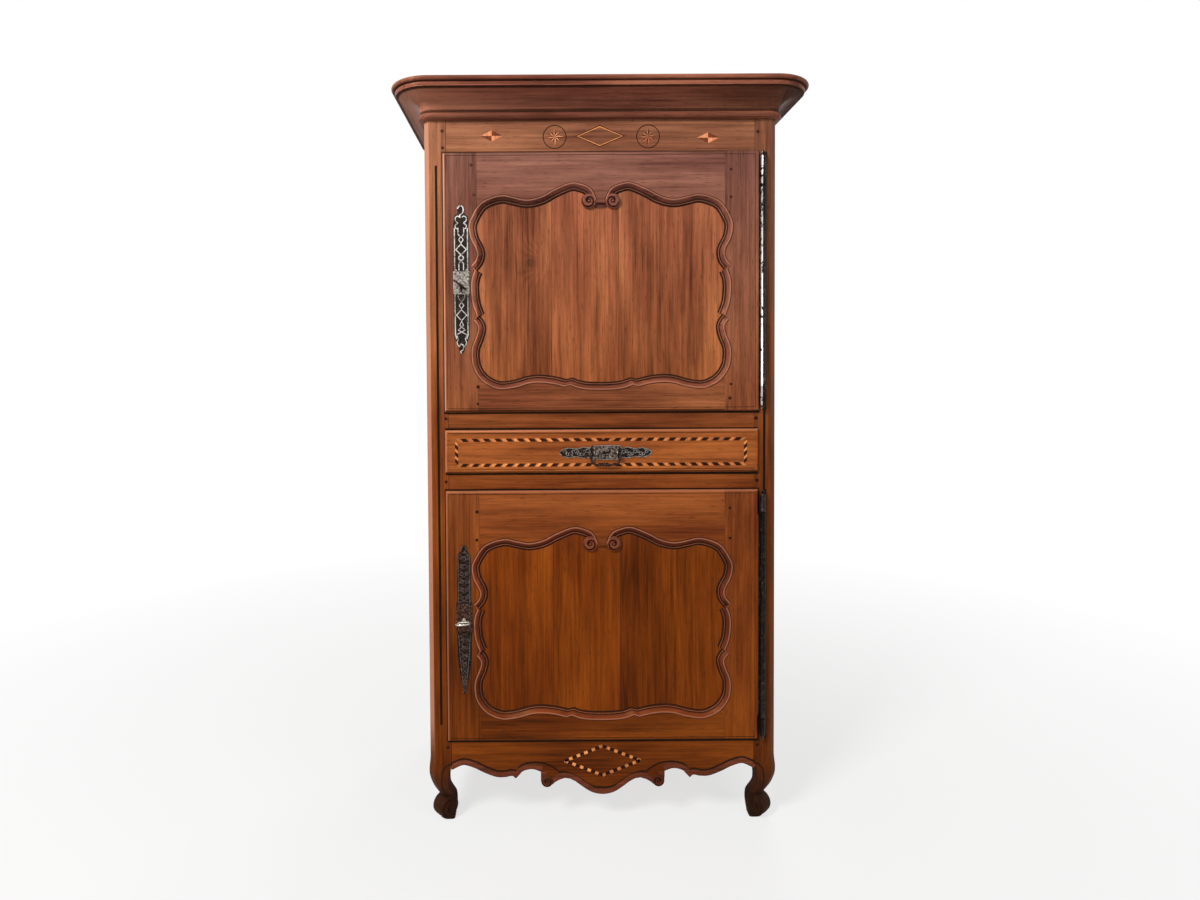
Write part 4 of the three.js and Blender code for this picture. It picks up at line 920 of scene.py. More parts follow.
# %% [markdown]
# Posts, mouldings, bars and tubes are all rings of points joined by faces. One function does the
# joining; the others add a plain box and cut boxes out of a shape.

# %% Skins and boxes


def skin(bm, rows, closed=False):
    """Joins matching rings of verts by faces. A row that isn't closed gets an end on each side."""
    faces = []
    for a, b in list(zip(rows, rows[1:])) + ([(rows[-1], rows[0])] if closed else []):
        for k in range(len(a)):
            j = (k + 1) % len(a)
            faces.append(bm.faces.new((a[k], a[j], b[j], b[k])))
    if not closed:
        faces += [bm.faces.new(rows[0][::-1]), bm.faces.new(rows[-1])]
    return faces


def loft_rings(bm, rings):
    """A closed shape through rings of points. Returns its rings of verts."""
    rows = [[bm.verts.new(p) for p in ring] for ring in rings]
    skin(bm, rows)
    return rows


def add_box(bm, low, high):
    """A box between two corners."""
    for vert in bmesh.ops.create_cube(bm, size=1)["verts"]:
        vert.co = [(a + b) / 2 + c * (b - a) for a, b, c in zip(low, high, vert.co)]


def cut_boxes(bm, boxes):
    """Cuts boxes, each given by two corners, out of a closed bmesh and returns the result."""
    bmesh.ops.recalc_face_normals(bm, faces=bm.faces)
    tools = bmesh.new()
    for low, high in boxes:
        add_box(tools, low, high)
    hosts = []
    for name, source in (("cut_whole", bm), ("cut_tools", tools)):
        mesh = bpy.data.meshes.new(name)
        source.to_mesh(mesh)
        source.free()
        hosts.append(bpy.data.objects.new(name, mesh))
        scene.collection.objects.link(hosts[-1])
    modifier = hosts[0].modifiers.new("cut", "BOOLEAN")
    modifier.operation, modifier.solver, modifier.object = "DIFFERENCE", "EXACT", hosts[1]
    made = bmesh.new()
    graph = bpy.context.evaluated_depsgraph_get()
    made.from_mesh(bpy.data.meshes.new_from_object(hosts[0].evaluated_get(graph)))
    for host in hosts:
        bpy.data.objects.remove(host)
    return made


print("joins and boxes:", [call.__name__ for call in (skin, loft_rings, add_box, cut_boxes)])

# %% [markdown]
# Scrolls end the legs, the apron and the door mouldings. Each is a short drum: two domed faces with
# a spiral groove that winds in to an eye, and a slightly crowned rim between them.

# %% Scrolls
AROUND, OUT, DOME = 48, 13, 0.0012


def scroll_relief(share, turn, turns):
    """How deep a scroll's groove is, 0 to 1, at a share of its radius and a turn in 0 to 1."""
    phase, eye = (share * turns + turn) % 1.0, 0.26
    if share < eye:
        return max(0.0, 1 - abs(share - eye * 0.9) / 0.06)
    return max(0.0, 1 - abs(phase - 0.5) / 0.2) if share < 0.93 else 0.0


def add_scroll(bm, dirt, centre, axis, across, radius, width, turns=1.9, groove=0.003, hand=1):
    """A round scroll, painted shade in its groove and a painted highlight on the rest."""
    centre, axis, across = Vector(centre), Vector(axis).normalized(), Vector(across).normalized()
    other = axis.cross(across)
    ways = [across * math.cos(2 * math.pi * k / AROUND) + other * math.sin(2 * math.pi * k / AROUND)
            for k in range(AROUND)]

    def face_rows(face):
        """The rings of one face, from its middle outwards; the edge is eased a little."""
        for i in range(OUT + 1):
            share, edge = i / OUT, i == OUT
            row = []
            for k, way in enumerate(ways[:1] if i == 0 else ways):
                deep = scroll_relief(share, k / AROUND * hand * face, turns)
                dome = DOME * (1 - share * share)
                height = face * (width / 2 + dome - groove * deep - (0.0015 if edge else 0))
                reach = radius * (share - (0.02 if edge else 0))
                row.append((centre + axis * height + reach * way, deep))
            yield row

    rows = list(face_rows(1))
    for s in (0.42, 0.2, 0, -0.2, -0.42):
        bulge = radius + 0.0015 * (1 - 5 * s * s)
        rows.append([(centre + axis * width * s + bulge * way, 0.0) for way in ways])
    rows += list(face_rows(-1))[::-1]
    made = []
    for row in rows:
        made.append([bm.verts.new(spot) for spot, _ in row])
        # Painted shade in the groove, a painted highlight on the rest.
        for vert, (_, deep) in zip(made[-1], row):
            vert[dirt] = deep if deep > 0.15 else -0.25
    for a, b in zip(made, made[1:]):
        for k in range(AROUND):
            j = (k + 1) % AROUND
            corners = [a[k % len(a)], a[j % len(a)], b[j % len(b)], b[k % len(b)]]
            bm.faces.new([v for i, v in enumerate(corners) if v not in corners[:i]])


print("points in a scroll's face:", AROUND * OUT + 1)

# %% [markdown]
# Each front post runs down into a cabriole leg: its section shifts outward at the knee and draws in
# above the foot. A loft does that best, one ring of points for each level, with the corners of the
# ring rounded a little on the post and more on the leg. The shares say, from the knee down, how far
# the outer and the inner face lie from the post's own, in widths of the post. The feet are scrolls,
# rolled outward. The left post keeps the two mortises that the lock bolts run into.

# %% Posts and legs
POST_WIDTH, POST_DEPTH, CHAMFER, LEG = 0.062, 0.060, 0.015, 0.190
LEG_SHARES = ((1, 0, 1), (0.92, -0.02, 0.98), (0.82, -0.05, 0.92), (0.72, -0.04, 0.87),
              (0.62, 0.03, 0.85), (0.53, 0.12, 0.87), (0.45, 0.23, 0.96), (0.38, 0.33, 1.06),
              (0.31, 0.38, 1.13), (0.2, 0.38, 1.15), (0.1, 0.36, 1.12), (0, 0.38, 1.08))
POST_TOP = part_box("front_stile_left")[1].z
FOOT_INSET, FOOT_HEIGHT, FOOT_RADIUS, FOOT_WIDTH = 0.039, 0.035, 0.030, 0.044
FOOT_TOP, BOLT_RUN, BOLT_ROOM, MORTISE_MOUTH = 0.075, 0.016, 0.0015, 0.004
leg_shares = smooth_through(LEG_SHARES[::-1], 60)


def leg_section(outer_share, inner_share, radius):
    """A level section of the right post in plan, its front at FRONT."""
    outer, inner = BODY_HALF - outer_share * POST_WIDTH, BODY_HALF - inner_share * POST_WIDTH
    front, back = FRONT + outer_share * POST_WIDTH, FRONT + inner_share * POST_DEPTH
    return rounded([(inner, front), (outer - CHAMFER, front), (outer, front + CHAMFER),
                    (outer, back), (inner, back)], radius)


def post_shading(height, place, left):
    """Painted shading of a post: legs darker low down, painted shade on their inner faces, a
    painted highlight on the left chamfer.
    """
    if height < LEG:
        inner_face = place < 2 or place >= 14
        low_down = 1 - height / LEG
        return max(0.75 if inner_face else 0.0, min(0.85, 0.1 + 1.1 * low_down))
    return -1.4 if left and 7 <= place <= 9 else 0.0


inner_x = POST_WIDTH - BODY_HALF
mortises = []
for word in DOORS:
    low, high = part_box(f"{word}_lock_bolt")
    mortises.append(((inner_x - BOLT_RUN, low.y - BOLT_ROOM, low.z - BOLT_ROOM),
                     (inner_x + MORTISE_MOUTH, high.y + BOLT_ROOM, high.z + BOLT_ROOM)))
for word, side in (("left", -1), ("right", 1)):
    bm, dirt = fresh_shape()
    sections = [(height * LEG, leg_section(outer, inner, 0.002 + 0.006 * (1 - height)))
                for height, outer, inner in leg_shares]
    sections += [(z, leg_section(0, 1, 0.002)) for z in (0.3, 0.6, 1.0, 1.4, 1.8, POST_TOP)]
    # Painted shade on the legs' inner faces, legs darker low down, a painted highlight on the left
    # chamfer.
    for row in loft_rings(bm, [[(side * p.x, p.y, z) for p in ring] for z, ring in sections]):
        for place, vert in enumerate(row):
            vert[dirt] = post_shading(vert.co.z, place, side < 0)
    if side < 0:
        bm = cut_boxes(bm, mortises)
        dirt = bm.verts.layers.float["dirt"]
    centre = (side * (BODY_HALF - FOOT_INSET), FRONT + FOOT_INSET, FOOT_HEIGHT)
    add_scroll(bm, dirt, centre, (side, 1, 0), (side, -1, 0), FOOT_RADIUS, FOOT_WIDTH, hand=side)
    # The feet are darkened nearly to black, their grooves fully.
    for vert in bm.verts:
        if vert.co.z < FOOT_TOP:
            vert[dirt] = 1.0 if vert[dirt] > 0.3 else 0.92
    finished(f"front_post_{word}", bm, upright_wood, "carcass",
             replaced=(f"front_stile_{word}",))
print("posts:", round(POST_TOP, 3), "m high, legs", LEG)

# %% [markdown]
# Mouldings and bars are a section swept along a line in the plane of the front, on the line's own
# normals. The carving of the doors breaks where two curves meet, so a band can also step aside.

# %% Swept bands
LEAN_LEAST = 0.2


def swept_band(bm, dirt, path, profile, face, closed=False, mitre=1.0, leaps=()):
    """Sweeps [inside, proud, shading] points along a path of (x, z), to the left of its direction.

    Inside runs in the plane of the front, proud stands out of it towards the viewer; shading is
    grime and painted shade above nought, wear and painted highlights below. At a corner the band
    keeps its width as far as the mitre factor allows. Across a leap, which is given by the number
    of the point before it, the band steps aside and keeps its direction on each side."""
    rows = []
    count = len(path)
    for k, (x, z) in enumerate(path):
        before = path[k - 1] if (k or closed) and k - 1 not in leaps else path[k]
        after = path[(k + 1) % count] if (k + 1 < count or closed) and k not in leaps else path[k]
        way = (Vector(after) - Vector(before)).normalized()
        leg = Vector(after) - Vector((x, z))
        lean = abs(leg.normalized().dot(way)) if leg.length else 1.0
        way *= min(mitre, 1 / max(lean, LEAN_LEAST))
        rows.append([bm.verts.new((x - way.y * inside, face - proud, z + way.x * inside))
                     for inside, proud, _ in profile])
        for vert, (_, _, soil_and_shading) in zip(rows[-1], profile):
            vert[dirt] = soil_and_shading
    skin(bm, rows, closed)


print("longest mitre:", 1 / LEAN_LEAST)

# %% [markdown]
# The apron's lower edge is a row of curves that meet in points, so its outline is written as smooth
# stretches between those points, in shares of the half opening and of the apron's rise. A moulded
# band follows that line. A groove runs above it, on lines of its own, drawn as a thin strip that is
# dark all over with painted shade, and a pair of scrolls sits where the middle drop begins:
# darkened, their grooves with painted shade.

# %% Apron
OPENING_HALF = BODY_HALF - POST_WIDTH
APRON_LOW, APRON_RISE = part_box("apron_rail")[0].z, 0.086
APRON_STRETCHES = (
    ((1, 0.84), (0.946, 0.97), (0.911, 1), (0.848, 0.9), (0.79, 0.755), (0.708, 0.6),
     (0.645, 0.59), (0.6, 0.63), (0.577, 0.547)),
    ((0.577, 0.547), (0.556, 0.65), (0.526, 0.79), (0.467, 0.85), (0.41, 0.76)),
    ((0.41, 0.76), (0.409, 0.5), (0.395, 0.34), (0.366, 0.27), (0.335, 0.33), (0.313, 0.42),
     (0.257, 0.545), (0.2, 0.49), (0.14, 0.28), (0.085, 0.1), (0.04, 0.022), (0, 0)))
GROOVE_STRETCHES = (
    ((0.577, 0.76), (0.548, 0.95), (0.506, 1.05), (0.446, 1.08), (0.378, 1.03), (0.331, 0.92),
     (0.288, 0.755)),
    ((0.288, 0.755), (0.244, 0.745), (0.19, 0.65), (0.143, 0.5), (0.102, 0.36), (0.062, 0.27),
     (0.03, 0.24), (0, 0.235)))
EDGE_BAND = [(0.0004, -0.004, 0.35), (0.0004, 0.0006, 0.35), (0.002, 0.0015, 0.1),
             (0.007, 0.0017, 0), (0.0125, 0.0013, 0), (0.0165, 0.0005, 0.3), (0.017, -0.003, 0.3)]
# The groove is a thin strip that is dark all over: painted shade.
GROOVE = [(-0.0025, -0.001, 1), (-0.0023, 0.0004, 1), (0.0021, 0.0004, 1), (0.0023, -0.001, 1)]
GROOVE_INSET, GROOVE_PROUD = 0.0180, 0.0004
SCROLL_X, SCROLL_SUNK, SCROLL_Z, SCROLL_RADIUS, SCROLL_WIDTH = 0.1580, 0.0105, 0.1218, 0.0162, 0.031


def apron_line(stretch, side):
    """One stretch of the apron's lines in metres, walked so that the board is on its left."""
    line = [(side * a * (OPENING_HALF - 0.0005), APRON_LOW + b * APRON_RISE)
            for a, b in smooth_through(stretch, 40)]
    return line if side < 0 else line[::-1]


softened("apron_rail", level_wood)
bm, dirt = fresh_shape()
inset_groove = [(inside + GROOVE_INSET, proud, soil_and_shading) for inside, proud, soil_and_shading in GROOVE]
for side in (1, -1):
    for stretch in APRON_STRETCHES:
        swept_band(bm, dirt, apron_line(stretch, side), EDGE_BAND, FRONT)
    for stretch in GROOVE_STRETCHES:
        swept_band(bm, dirt, apron_line(stretch, side), GROOVE, FRONT - GROOVE_PROUD)
    outer_line = apron_line(APRON_STRETCHES[0], side)
    swept_band(bm, dirt, outer_line, inset_groove, FRONT - GROOVE_PROUD)
finished("apron_band", bm, apron_carved, "carcass")
bm, dirt = fresh_shape()
for side in (1, -1):
    centre = (side * SCROLL_X, FRONT + SCROLL_SUNK, SCROLL_Z)
    add_scroll(bm, dirt, centre, (0, -1, 0), (side, 0, 0), SCROLL_RADIUS, SCROLL_WIDTH, turns=1.5,
               groove=0.005, hand=-side)
# The scrolls are darkened, and their grooves, painted shade, to black.
for vert in bm.verts:
    vert[dirt] = 1.0 if vert[dirt] > 0.3 else 0.62
finished("apron_scrolls", bm, apron_carved, "carcass")
print("apron rises from", round(APRON_LOW, 3), "by", APRON_RISE)

# %% [markdown]
# The carved moulding round each door panel is what marks such a cabinet. Its line is again written
# as smooth stretches between cusps, in shares of the half width and of the height, and swept with
# a section cut like the real one: a quirk outside, a ridge that slopes down to a second quirk, a
# narrow bead, and a last quirk along the panel. The quirks are darkened with painted shade, and the
# ridge and the bead get painted highlights. A short link joins the two halves at the top middle,
# its edges darkened with painted shade, with a scroll on either side of it.

# %% Door mouldings
OUTLINE_STRETCHES = (
    (110, ((0.036, 0.92), (0.076, 0.97), (0.144, 0.993), (0.228, 1), (0.353, 0.968), (0.45, 0.935),
           (0.554, 0.92), (0.65, 0.93), (0.745, 0.942), (0.85, 0.926), (0.924, 0.895),
           (0.985, 0.83), (1, 0.79), (0.985, 0.735), (0.95, 0.69), (0.9375, 0.66), (0.95, 0.63),
           (0.984, 0.604))),
    (30, ((0.957, 0.581), (0.98, 0.54), (0.986, 0.492), (0.975, 0.42), (0.943, 0.361))),
    (90, ((0.969, 0.339), (0.945, 0.32), (0.935, 0.298), (0.95, 0.26), (0.98, 0.21),
          (0.986, 0.162), (0.97, 0.105), (0.92, 0.055), (0.853, 0.023), (0.766, 0.006),
          (0.65, 0.015), (0.55, 0.033), (0.465, 0.037), (0.37, 0.03), (0.28, 0.016))),
    (18, ((0.24, 0.025), (0.18, 0.01), (0.1, 0.002), (0, 0))))
OUTLINE_MARGIN = 0.073
OUTLINE_PLACES = {"upper": (0.060, 0.087), "lower": (0.061, 0.104)}
LINK_SHARE, LINK_HALF, EYE_SHARE = 0.906, 0.020, 0.915
EYE_X, EYE_SUNK, EYE_RADIUS, EYE_WIDTH = 0.033, 0.0030, 0.0195, 0.0085
# Third numbers: painted shade in the quirks, painted highlights on the ridge and the bead.
MOULDING = [(0.0034, -0.0069, 0.7), (0.0034, 0.0002, 0.8), (0.0016, 0.0004, 0.9),
            (0.0012, 0.0016, -0.4), (-0.0002, 0.0022, -0.9), (-0.0020, 0.0020, -0.8),
            (-0.0030, 0.0012, 0), (-0.0050, -0.0004, 0), (-0.0078, -0.0026, 0),
            (-0.0098, -0.0042, 0.2), (-0.0114, -0.0058, 0.8), (-0.0120, -0.0062, 1),
            (-0.0138, -0.0062, 1), (-0.0142, -0.0046, 0), (-0.0153, -0.0038, -0.7),
            (-0.0164, -0.0046, 0), (-0.0168, -0.0062, 1), (-0.0175, -0.0068, 1),
            (-0.0212, -0.0068, 1), (-0.0214, -0.0073, 1)]
# The link's edges are darkened with painted shade.
LINK = [(-0.0006, -0.004, 1), (-0.0006, 0.0004, 1), (0.0012, 0.0006, 0), (0.0012, -0.004, 1)]


def panel_height(word, share):
    """The height in metres of a share of a door's carved outline."""
    sill_margin, head_margin = OUTLINE_PLACES[word]
    low = DOORS[word]["sill"] + sill_margin
    return low + share * (DOORS[word]["top"] - head_margin - low)


def outline_of(word):
    """The moulding's line round a door, from the top middle by the right, and its leaps."""
    half = DOORS[word]["half"] - OUTLINE_MARGIN
    points, ends = [], []
    for steps, stretch in OUTLINE_STRETCHES:
        points += [(a * half, panel_height(word, b)) for a, b in smooth_through(stretch, steps)]
        ends.append(len(points) - 1)
    leaps = ends[:-1] + [2 * len(points) - 3 - k for k in ends[:-1]]
    return points + [(-x, z) for x, z in points[-2::-1]], leaps


for word, door in DOORS.items():
    bm, dirt = fresh_shape()
    line, leaps = outline_of(word)
    swept_band(bm, dirt, line, MOULDING, door["face"], leaps=leaps)
    link, eye = panel_height(word, LINK_SHARE), panel_height(word, EYE_SHARE)
    swept_band(bm, dirt, [(LINK_HALF, link), (-LINK_HALF, link)], LINK, door["face"])
    for side in (1, -1):
        centre = (side * EYE_X, door["face"] + EYE_SUNK, eye)
        add_scroll(bm, dirt, centre, (0, -1, 0), (side, 0, 0), EYE_RADIUS, EYE_WIDTH, turns=1.5,
                   groove=0.0066, hand=-side)
    finished(f"{word}_moulding", bm, carved_wood, f"{word}_door", crease=50)
print("moulding sections:", len(MOULDING), "points each")

# %% [markdown]
# Lines and inlay are let into the wood: a black line up each post and small figures of dark and
# light wood on the frieze. The same thin pieces carry painted shade: a black line in the quirk
# inside the lip of the doors and drawer, and the painted shadows round the fronts and by the
# hinges.
# Each is a thin piece with square edges that stands a fraction of a millimetre proud.

# %% Inlay helpers
INLAY = 0.0003


def prism(bm, outline, face, proud=INLAY, index=0, back=0.0012):
    """A closed flat piece with the given (x, z) outline, just proud of a face."""
    rows = [[bm.verts.new((x, y, z)) for x, z in outline] for y in (face - proud, face + back)]
    for made in skin(bm, rows):
        made.material_index = index


def closed_line(bm, dirt, corners, width, face, proud=INLAY):
    """A line of constant width round a closed polygon, its inner side on the corners."""
    bar = [(-width, -0.001, 0), (-width, proud, 0), (0, proud, 0), (0, -0.001, 0)]
    swept_band(bm, dirt, corners, bar, face, closed=True, mitre=1.6)


def rectangle(low_x, high_x, low_z, high_z):
    """The corners of an upright rectangle, walked so that its inside is on the left."""
    return [(low_x, low_z), (high_x, low_z), (high_x, high_z), (low_x, high_z)]


def flat_inlay_and_shade(name, bm, body, finishes):
    """Finishes a flat piece, inlay or painted shade, with several finishes."""
    mesh = bpy.data.meshes.new(name)
    for finish in finishes:
        mesh.materials.append(finish)
    finish_mesh(mesh, bm, 20)
    new_piece(name, mesh, None, body)


print("inlay stands", INLAY * 1000, "mm proud")

# %% [markdown]
# The post lines and the frieze. The frieze has a diamond of two lines at its middle, a compass
# rosette on each side of it and a lozenge of four triangles at each end.

# %% Post lines and frieze
LOZENGES, ROSETTES = ((-0.301, 1.936), (0.299, 1.928)), ((-0.1265, 1.9325), (0.1325, 1.9325))
LOZENGE_HALF, ROSETTE_RADIUS, ROSETTE_WAIST = (0.031, 0.015), 0.0305, 0.0085
POST_LINE, POST_LINE_ENDS = (0.4527, 0.4593), (0.285, 1.855)
DIAMOND_LEFT, DIAMOND_RIGHT, DIAMOND_X, DIAMOND_Z = -0.067, 0.065, -0.001, 1.934
DIAMOND_HALF, DIAMOND_LEAN = 0.0275, 2.3

bm = bmesh.new()
for side in (-1, 1):
    prism(bm, rectangle(*sorted(side * x for x in POST_LINE), *POST_LINE_ENDS), FRONT)
flat_inlay_and_shade("post_lines", bm, "carcass", [black_line])

bm, dirt = fresh_shape()
for width, grow, index in ((0.0022, 0, 0), (0.0016, 0.0022, 1)):
    first = len(bm.faces)
    beside, above = DIAMOND_LEAN * grow, DIAMOND_HALF - grow
    closed_line(bm, dirt, [(DIAMOND_LEFT + beside, DIAMOND_Z), (DIAMOND_X, DIAMOND_Z - above),
                           (DIAMOND_RIGHT - beside, DIAMOND_Z), (DIAMOND_X, DIAMOND_Z + above)],
                width, FRONT)
    bm.faces.ensure_lookup_table()
    for made in bm.faces[first:]:
        made.material_index = index
for x, z in LOZENGES:
    for index, across, along in ((3, -1, 1), (2, 1, 1), (3, 1, -1), (2, -1, -1)):
        prism(bm, [(x, z), (x + across * LOZENGE_HALF[0], z), (x, z + along * LOZENGE_HALF[1])],
              FRONT, index=index)
for x, z in ROSETTES:
    closed_line(bm, dirt, ring_of(x, z, ROSETTE_RADIUS, 32), 0.0024, FRONT)
    waist = ring_of(x, z, ROSETTE_WAIST, 16)
    for k in range(8):
        point = 0.027 if k % 2 == 0 else 0.019
        tip = ring_of(x, z, point, 8)[k]
        for index, beside in ((0, waist[2 * k - 1]), (3, waist[2 * k + 1])):
            prism(bm, [(x, z), tip, beside], FRONT, index=index)
flat_inlay_and_shade("frieze_inlay", bm, "carcass", [dark_inlay, light_inlay, brown_inlay, pale_inlay])
print("figures on the frieze:", 1 + len(LOZENGES) + len(ROSETTES))

# %% [markdown]
# The dark lines round the doors and the drawer are painted shade: a black line in the quirk on each
# front, just inside its lip, and on the carcass a thin painted shadow where the front closes,
# reaching further below and to the right. The hinges have a strip of painted shadow on the post
# too.

# %% Quirks and shades
QUIRK_INSET, QUIRK_WIDTH, QUIRK_PROUD = 0.0098, 0.0011, 0.0002
SHADE_WIDTH, SHADE_PROUD, HINGE_SHADE, HINGE_SHADE_PROUD = 0.0044, 0.00015, (-0.006, 0.0042), 0.0002
for word, front in (("upper_door", DOORS["upper"]), ("lower_door", DOORS["lower"]),
                    ("drawer", DRAWER)):
    half, sill, top = front["half"], front["sill"], front["top"]
    bm, dirt = fresh_shape()
    inside = rectangle(-half + QUIRK_INSET, half - QUIRK_INSET, sill + QUIRK_INSET,
                       top - QUIRK_INSET)
    # A black line of painted shade in the quirk inside the lip.
    closed_line(bm, dirt, inside, QUIRK_WIDTH, front["face"], QUIRK_PROUD)
    flat_inlay_and_shade(f"{word}_quirk", bm, word, [black_line])
    bm, dirt = fresh_shape()
    # A painted shadow on the carcass round the front, reaching further below and to the right.
    outside = rectangle(-half + 0.001, half + 0.001, sill - 0.0025, top - 0.001)
    closed_line(bm, dirt, outside, SHADE_WIDTH, FRONT, SHADE_PROUD)
    flat_inlay_and_shade(f"{word}_shade", bm, "carcass", [black_line])
for word in DOORS:
    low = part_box(f"{word}_hinge_bottom_knuckle")[0]
    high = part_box(f"{word}_hinge_top_knuckle")[1]
    bm = bmesh.new()
    # A painted shadow on the post along the hinge.
    shade = rectangle(*(high.x + beside for beside in HINGE_SHADE), low.z, high.z)
    prism(bm, shade, FRONT, HINGE_SHADE_PROUD)
    flat_inlay_and_shade(f"{word}_hinge_shade", bm, "carcass", [black_line])
print("quirks lie", round(QUIRK_INSET * 1000, 1), "mm inside the fronts")

# %% [markdown]
# The drawer and the apron carry bands of little dark and light tiles. They repeat along a line, so
# Geometry Nodes lay them: points at an even pitch along each line, turned to the line, with a tile
# on each. A tile is a cube pushed askew, which makes it a parallelogram. Lines that run outwards
# from the drawer's middle lean opposite ways, which the attribute "hand" asks for.

# %% Tree for inlaid bands
tile_tree, given, result = tree_with("tile_band", {
    "Pitch": "Float", "Start": "Float", "Length": "Float", "Width": "Float", "Slant": "Float",
    "Thickness": "Float", "Finish": "Material"})
path = add(tile_tree, "GeometryNodeMeshToCurve", {0: given["Geometry"]})
path = add(tile_tree, "GeometryNodeSetCurveNormal", {0: path.outputs[0]}, mode="Z_UP")
spots = add(tile_tree, "GeometryNodeCurveToPoints", {
    "Curve": path.outputs[0], "Length": given["Pitch"]}, mode="LENGTH")
size = vector_of(tile_tree, given["Length"], given["Width"], given["Thickness"])
tile = add(tile_tree, "GeometryNodeMeshCube", {"Size": size})
at = parts_of(tile_tree, add(tile_tree, "GeometryNodeInputPosition").outputs[0])
askew = times(tile_tree, at[1], given["Slant"])
push = vector_of(tile_tree, plus(tile_tree, given["Start"], askew))
tile = add(tile_tree, "GeometryNodeSetPosition", {"Geometry": tile.outputs[0], "Offset": push})
turn = add(tile_tree, "FunctionNodeAlignRotationToVector", {"Vector": spots.outputs["Tangent"]},
           axis="X", pivot_axis="Z")
hand = add(tile_tree, "GeometryNodeInputNamedAttribute", {"Name": "hand"}, data_type="FLOAT")
laid = add(tile_tree, "GeometryNodeInstanceOnPoints", {
    "Points": spots.outputs["Points"], "Instance": tile.outputs[0], "Rotation": turn.outputs[0],
    "Scale": vector_of(tile_tree, 1.0, hand.outputs[0], 1.0)})
close_tree(tile_tree, given, result, laid.outputs[0])


def lay_band(name, body, lines, layers, face):
    """Lays tiles along (x, z) lines, each with a hand, and stands them on a front face."""
    whole = bmesh.new()
    for index, values in enumerate(layers):
        host = line_mesh(name + "_lines", *[[(x, z, 0) for x, z in line] for line, _ in lines])
        steer(host, "hand", [hand for line, hand in lines for _ in line])
        layer = run_tree(tile_tree, host, values)
        first = len(whole.verts), len(whole.faces)
        whole.from_mesh(layer)
        whole.verts.ensure_lookup_table()
        whole.faces.ensure_lookup_table()
        for vert in whole.verts[first[0]:]:
            x, z, up = vert.co
            vert.co = (x, face - INLAY + values["Thickness"] / 2 - up, z)
        for tile_face in whole.faces[first[1]:]:
            tile_face.material_index = index
        bpy.data.meshes.remove(layer)
    flat_inlay_and_shade(name, whole, body, [values["Finish"] for values in layers])


print("inputs of the tree:", len(tile_tree.interface.items_tree) - 2)

# %% [markdown]
# The drawer's bands run outwards from its middle along the top and the bottom, and up both ends.
# The apron's diamond is the same kind of band on four slanting lines, with straight tiles.

# %% Inlaid bands
BAND_LEFT, BAND_RIGHT, BAND_LOW, BAND_HIGH = -0.4045, 0.4005, 1.0225, 1.0925
BAND_MIDDLE, PAIRS, END_RISE, END_LENGTH, TILE = 0.004, 13, 0.0045, 0.0404, 0.0012
far_left, far_right = (BAND_MIDDLE + (end - BAND_MIDDLE) * (PAIRS - 1) / PAIRS
                       for end in (BAND_LEFT, BAND_RIGHT))
level_lines = [([(BAND_MIDDLE, z), (far, z)], hand) for z, far, hand in (
    (BAND_HIGH, far_right, 1), (BAND_HIGH, far_left, -1), (BAND_LOW, far_right, -1),
    (BAND_LOW, far_left, 1))]
rise = BAND_LOW + END_RISE
end_lines = [([(x, rise), (x, rise + END_LENGTH)], hand)
             for x, hand in ((BAND_LEFT, 1), (BAND_RIGHT, -1))]


def tile_layers(common, dark, light):
    """The two layers of a band, from the start and the length of its dark and light tiles."""
    return [{**common, "Thickness": TILE, "Start": start, "Length": length, "Finish": finish}
            for (start, length), finish in ((dark, dark_inlay), (light, light_inlay))]


slanted = {"Width": 0.0088, "Slant": 0.9}
lay_band("drawer_long_bands", "drawer", level_lines, tile_layers(
    {**slanted, "Pitch": 0.0302}, (0.0092, 0.0150), (0.0237, 0.0110)), DRAWER["face"])
lay_band("drawer_short_bands", "drawer", end_lines, tile_layers(
    {**slanted, "Pitch": 0.0200}, (0.0055, 0.0105), (0.0150, 0.0070)), DRAWER["face"])

DIAMOND = [(-0.107, 0.1795), (-0.0005, 0.2215), (0.106, 0.1795), (-0.0005, 0.1375)]
diamond_lines = []
for corner, following in zip(DIAMOND, DIAMOND[1:] + DIAMOND[:1]):
    first, last = Vector(corner), Vector(following)
    step = (last - first) / 5
    diamond_lines.append(([tuple(first), tuple(last - step * 0.98)], 1))
pitch = step.length
lay_band("apron_diamond", "carcass", diamond_lines, tile_layers(
    {"Pitch": pitch * 0.99, "Width": 0.0084, "Slant": 0.0}, (pitch * 0.28, pitch * 0.56),
    (pitch * 0.78, pitch * 0.44)), FRONT)
print("bands laid, the diamond's pitch is", round(pitch * 1000, 1), "mm")

# %% [markdown]
# Wooden pegs hold the tenons: round ones in the doors, square ones set on a corner in the frame.
# They repeat, so Geometry Nodes put a short rod on each point, each a little different in size and
# turn. The seed is fixed, so they are the same each time.

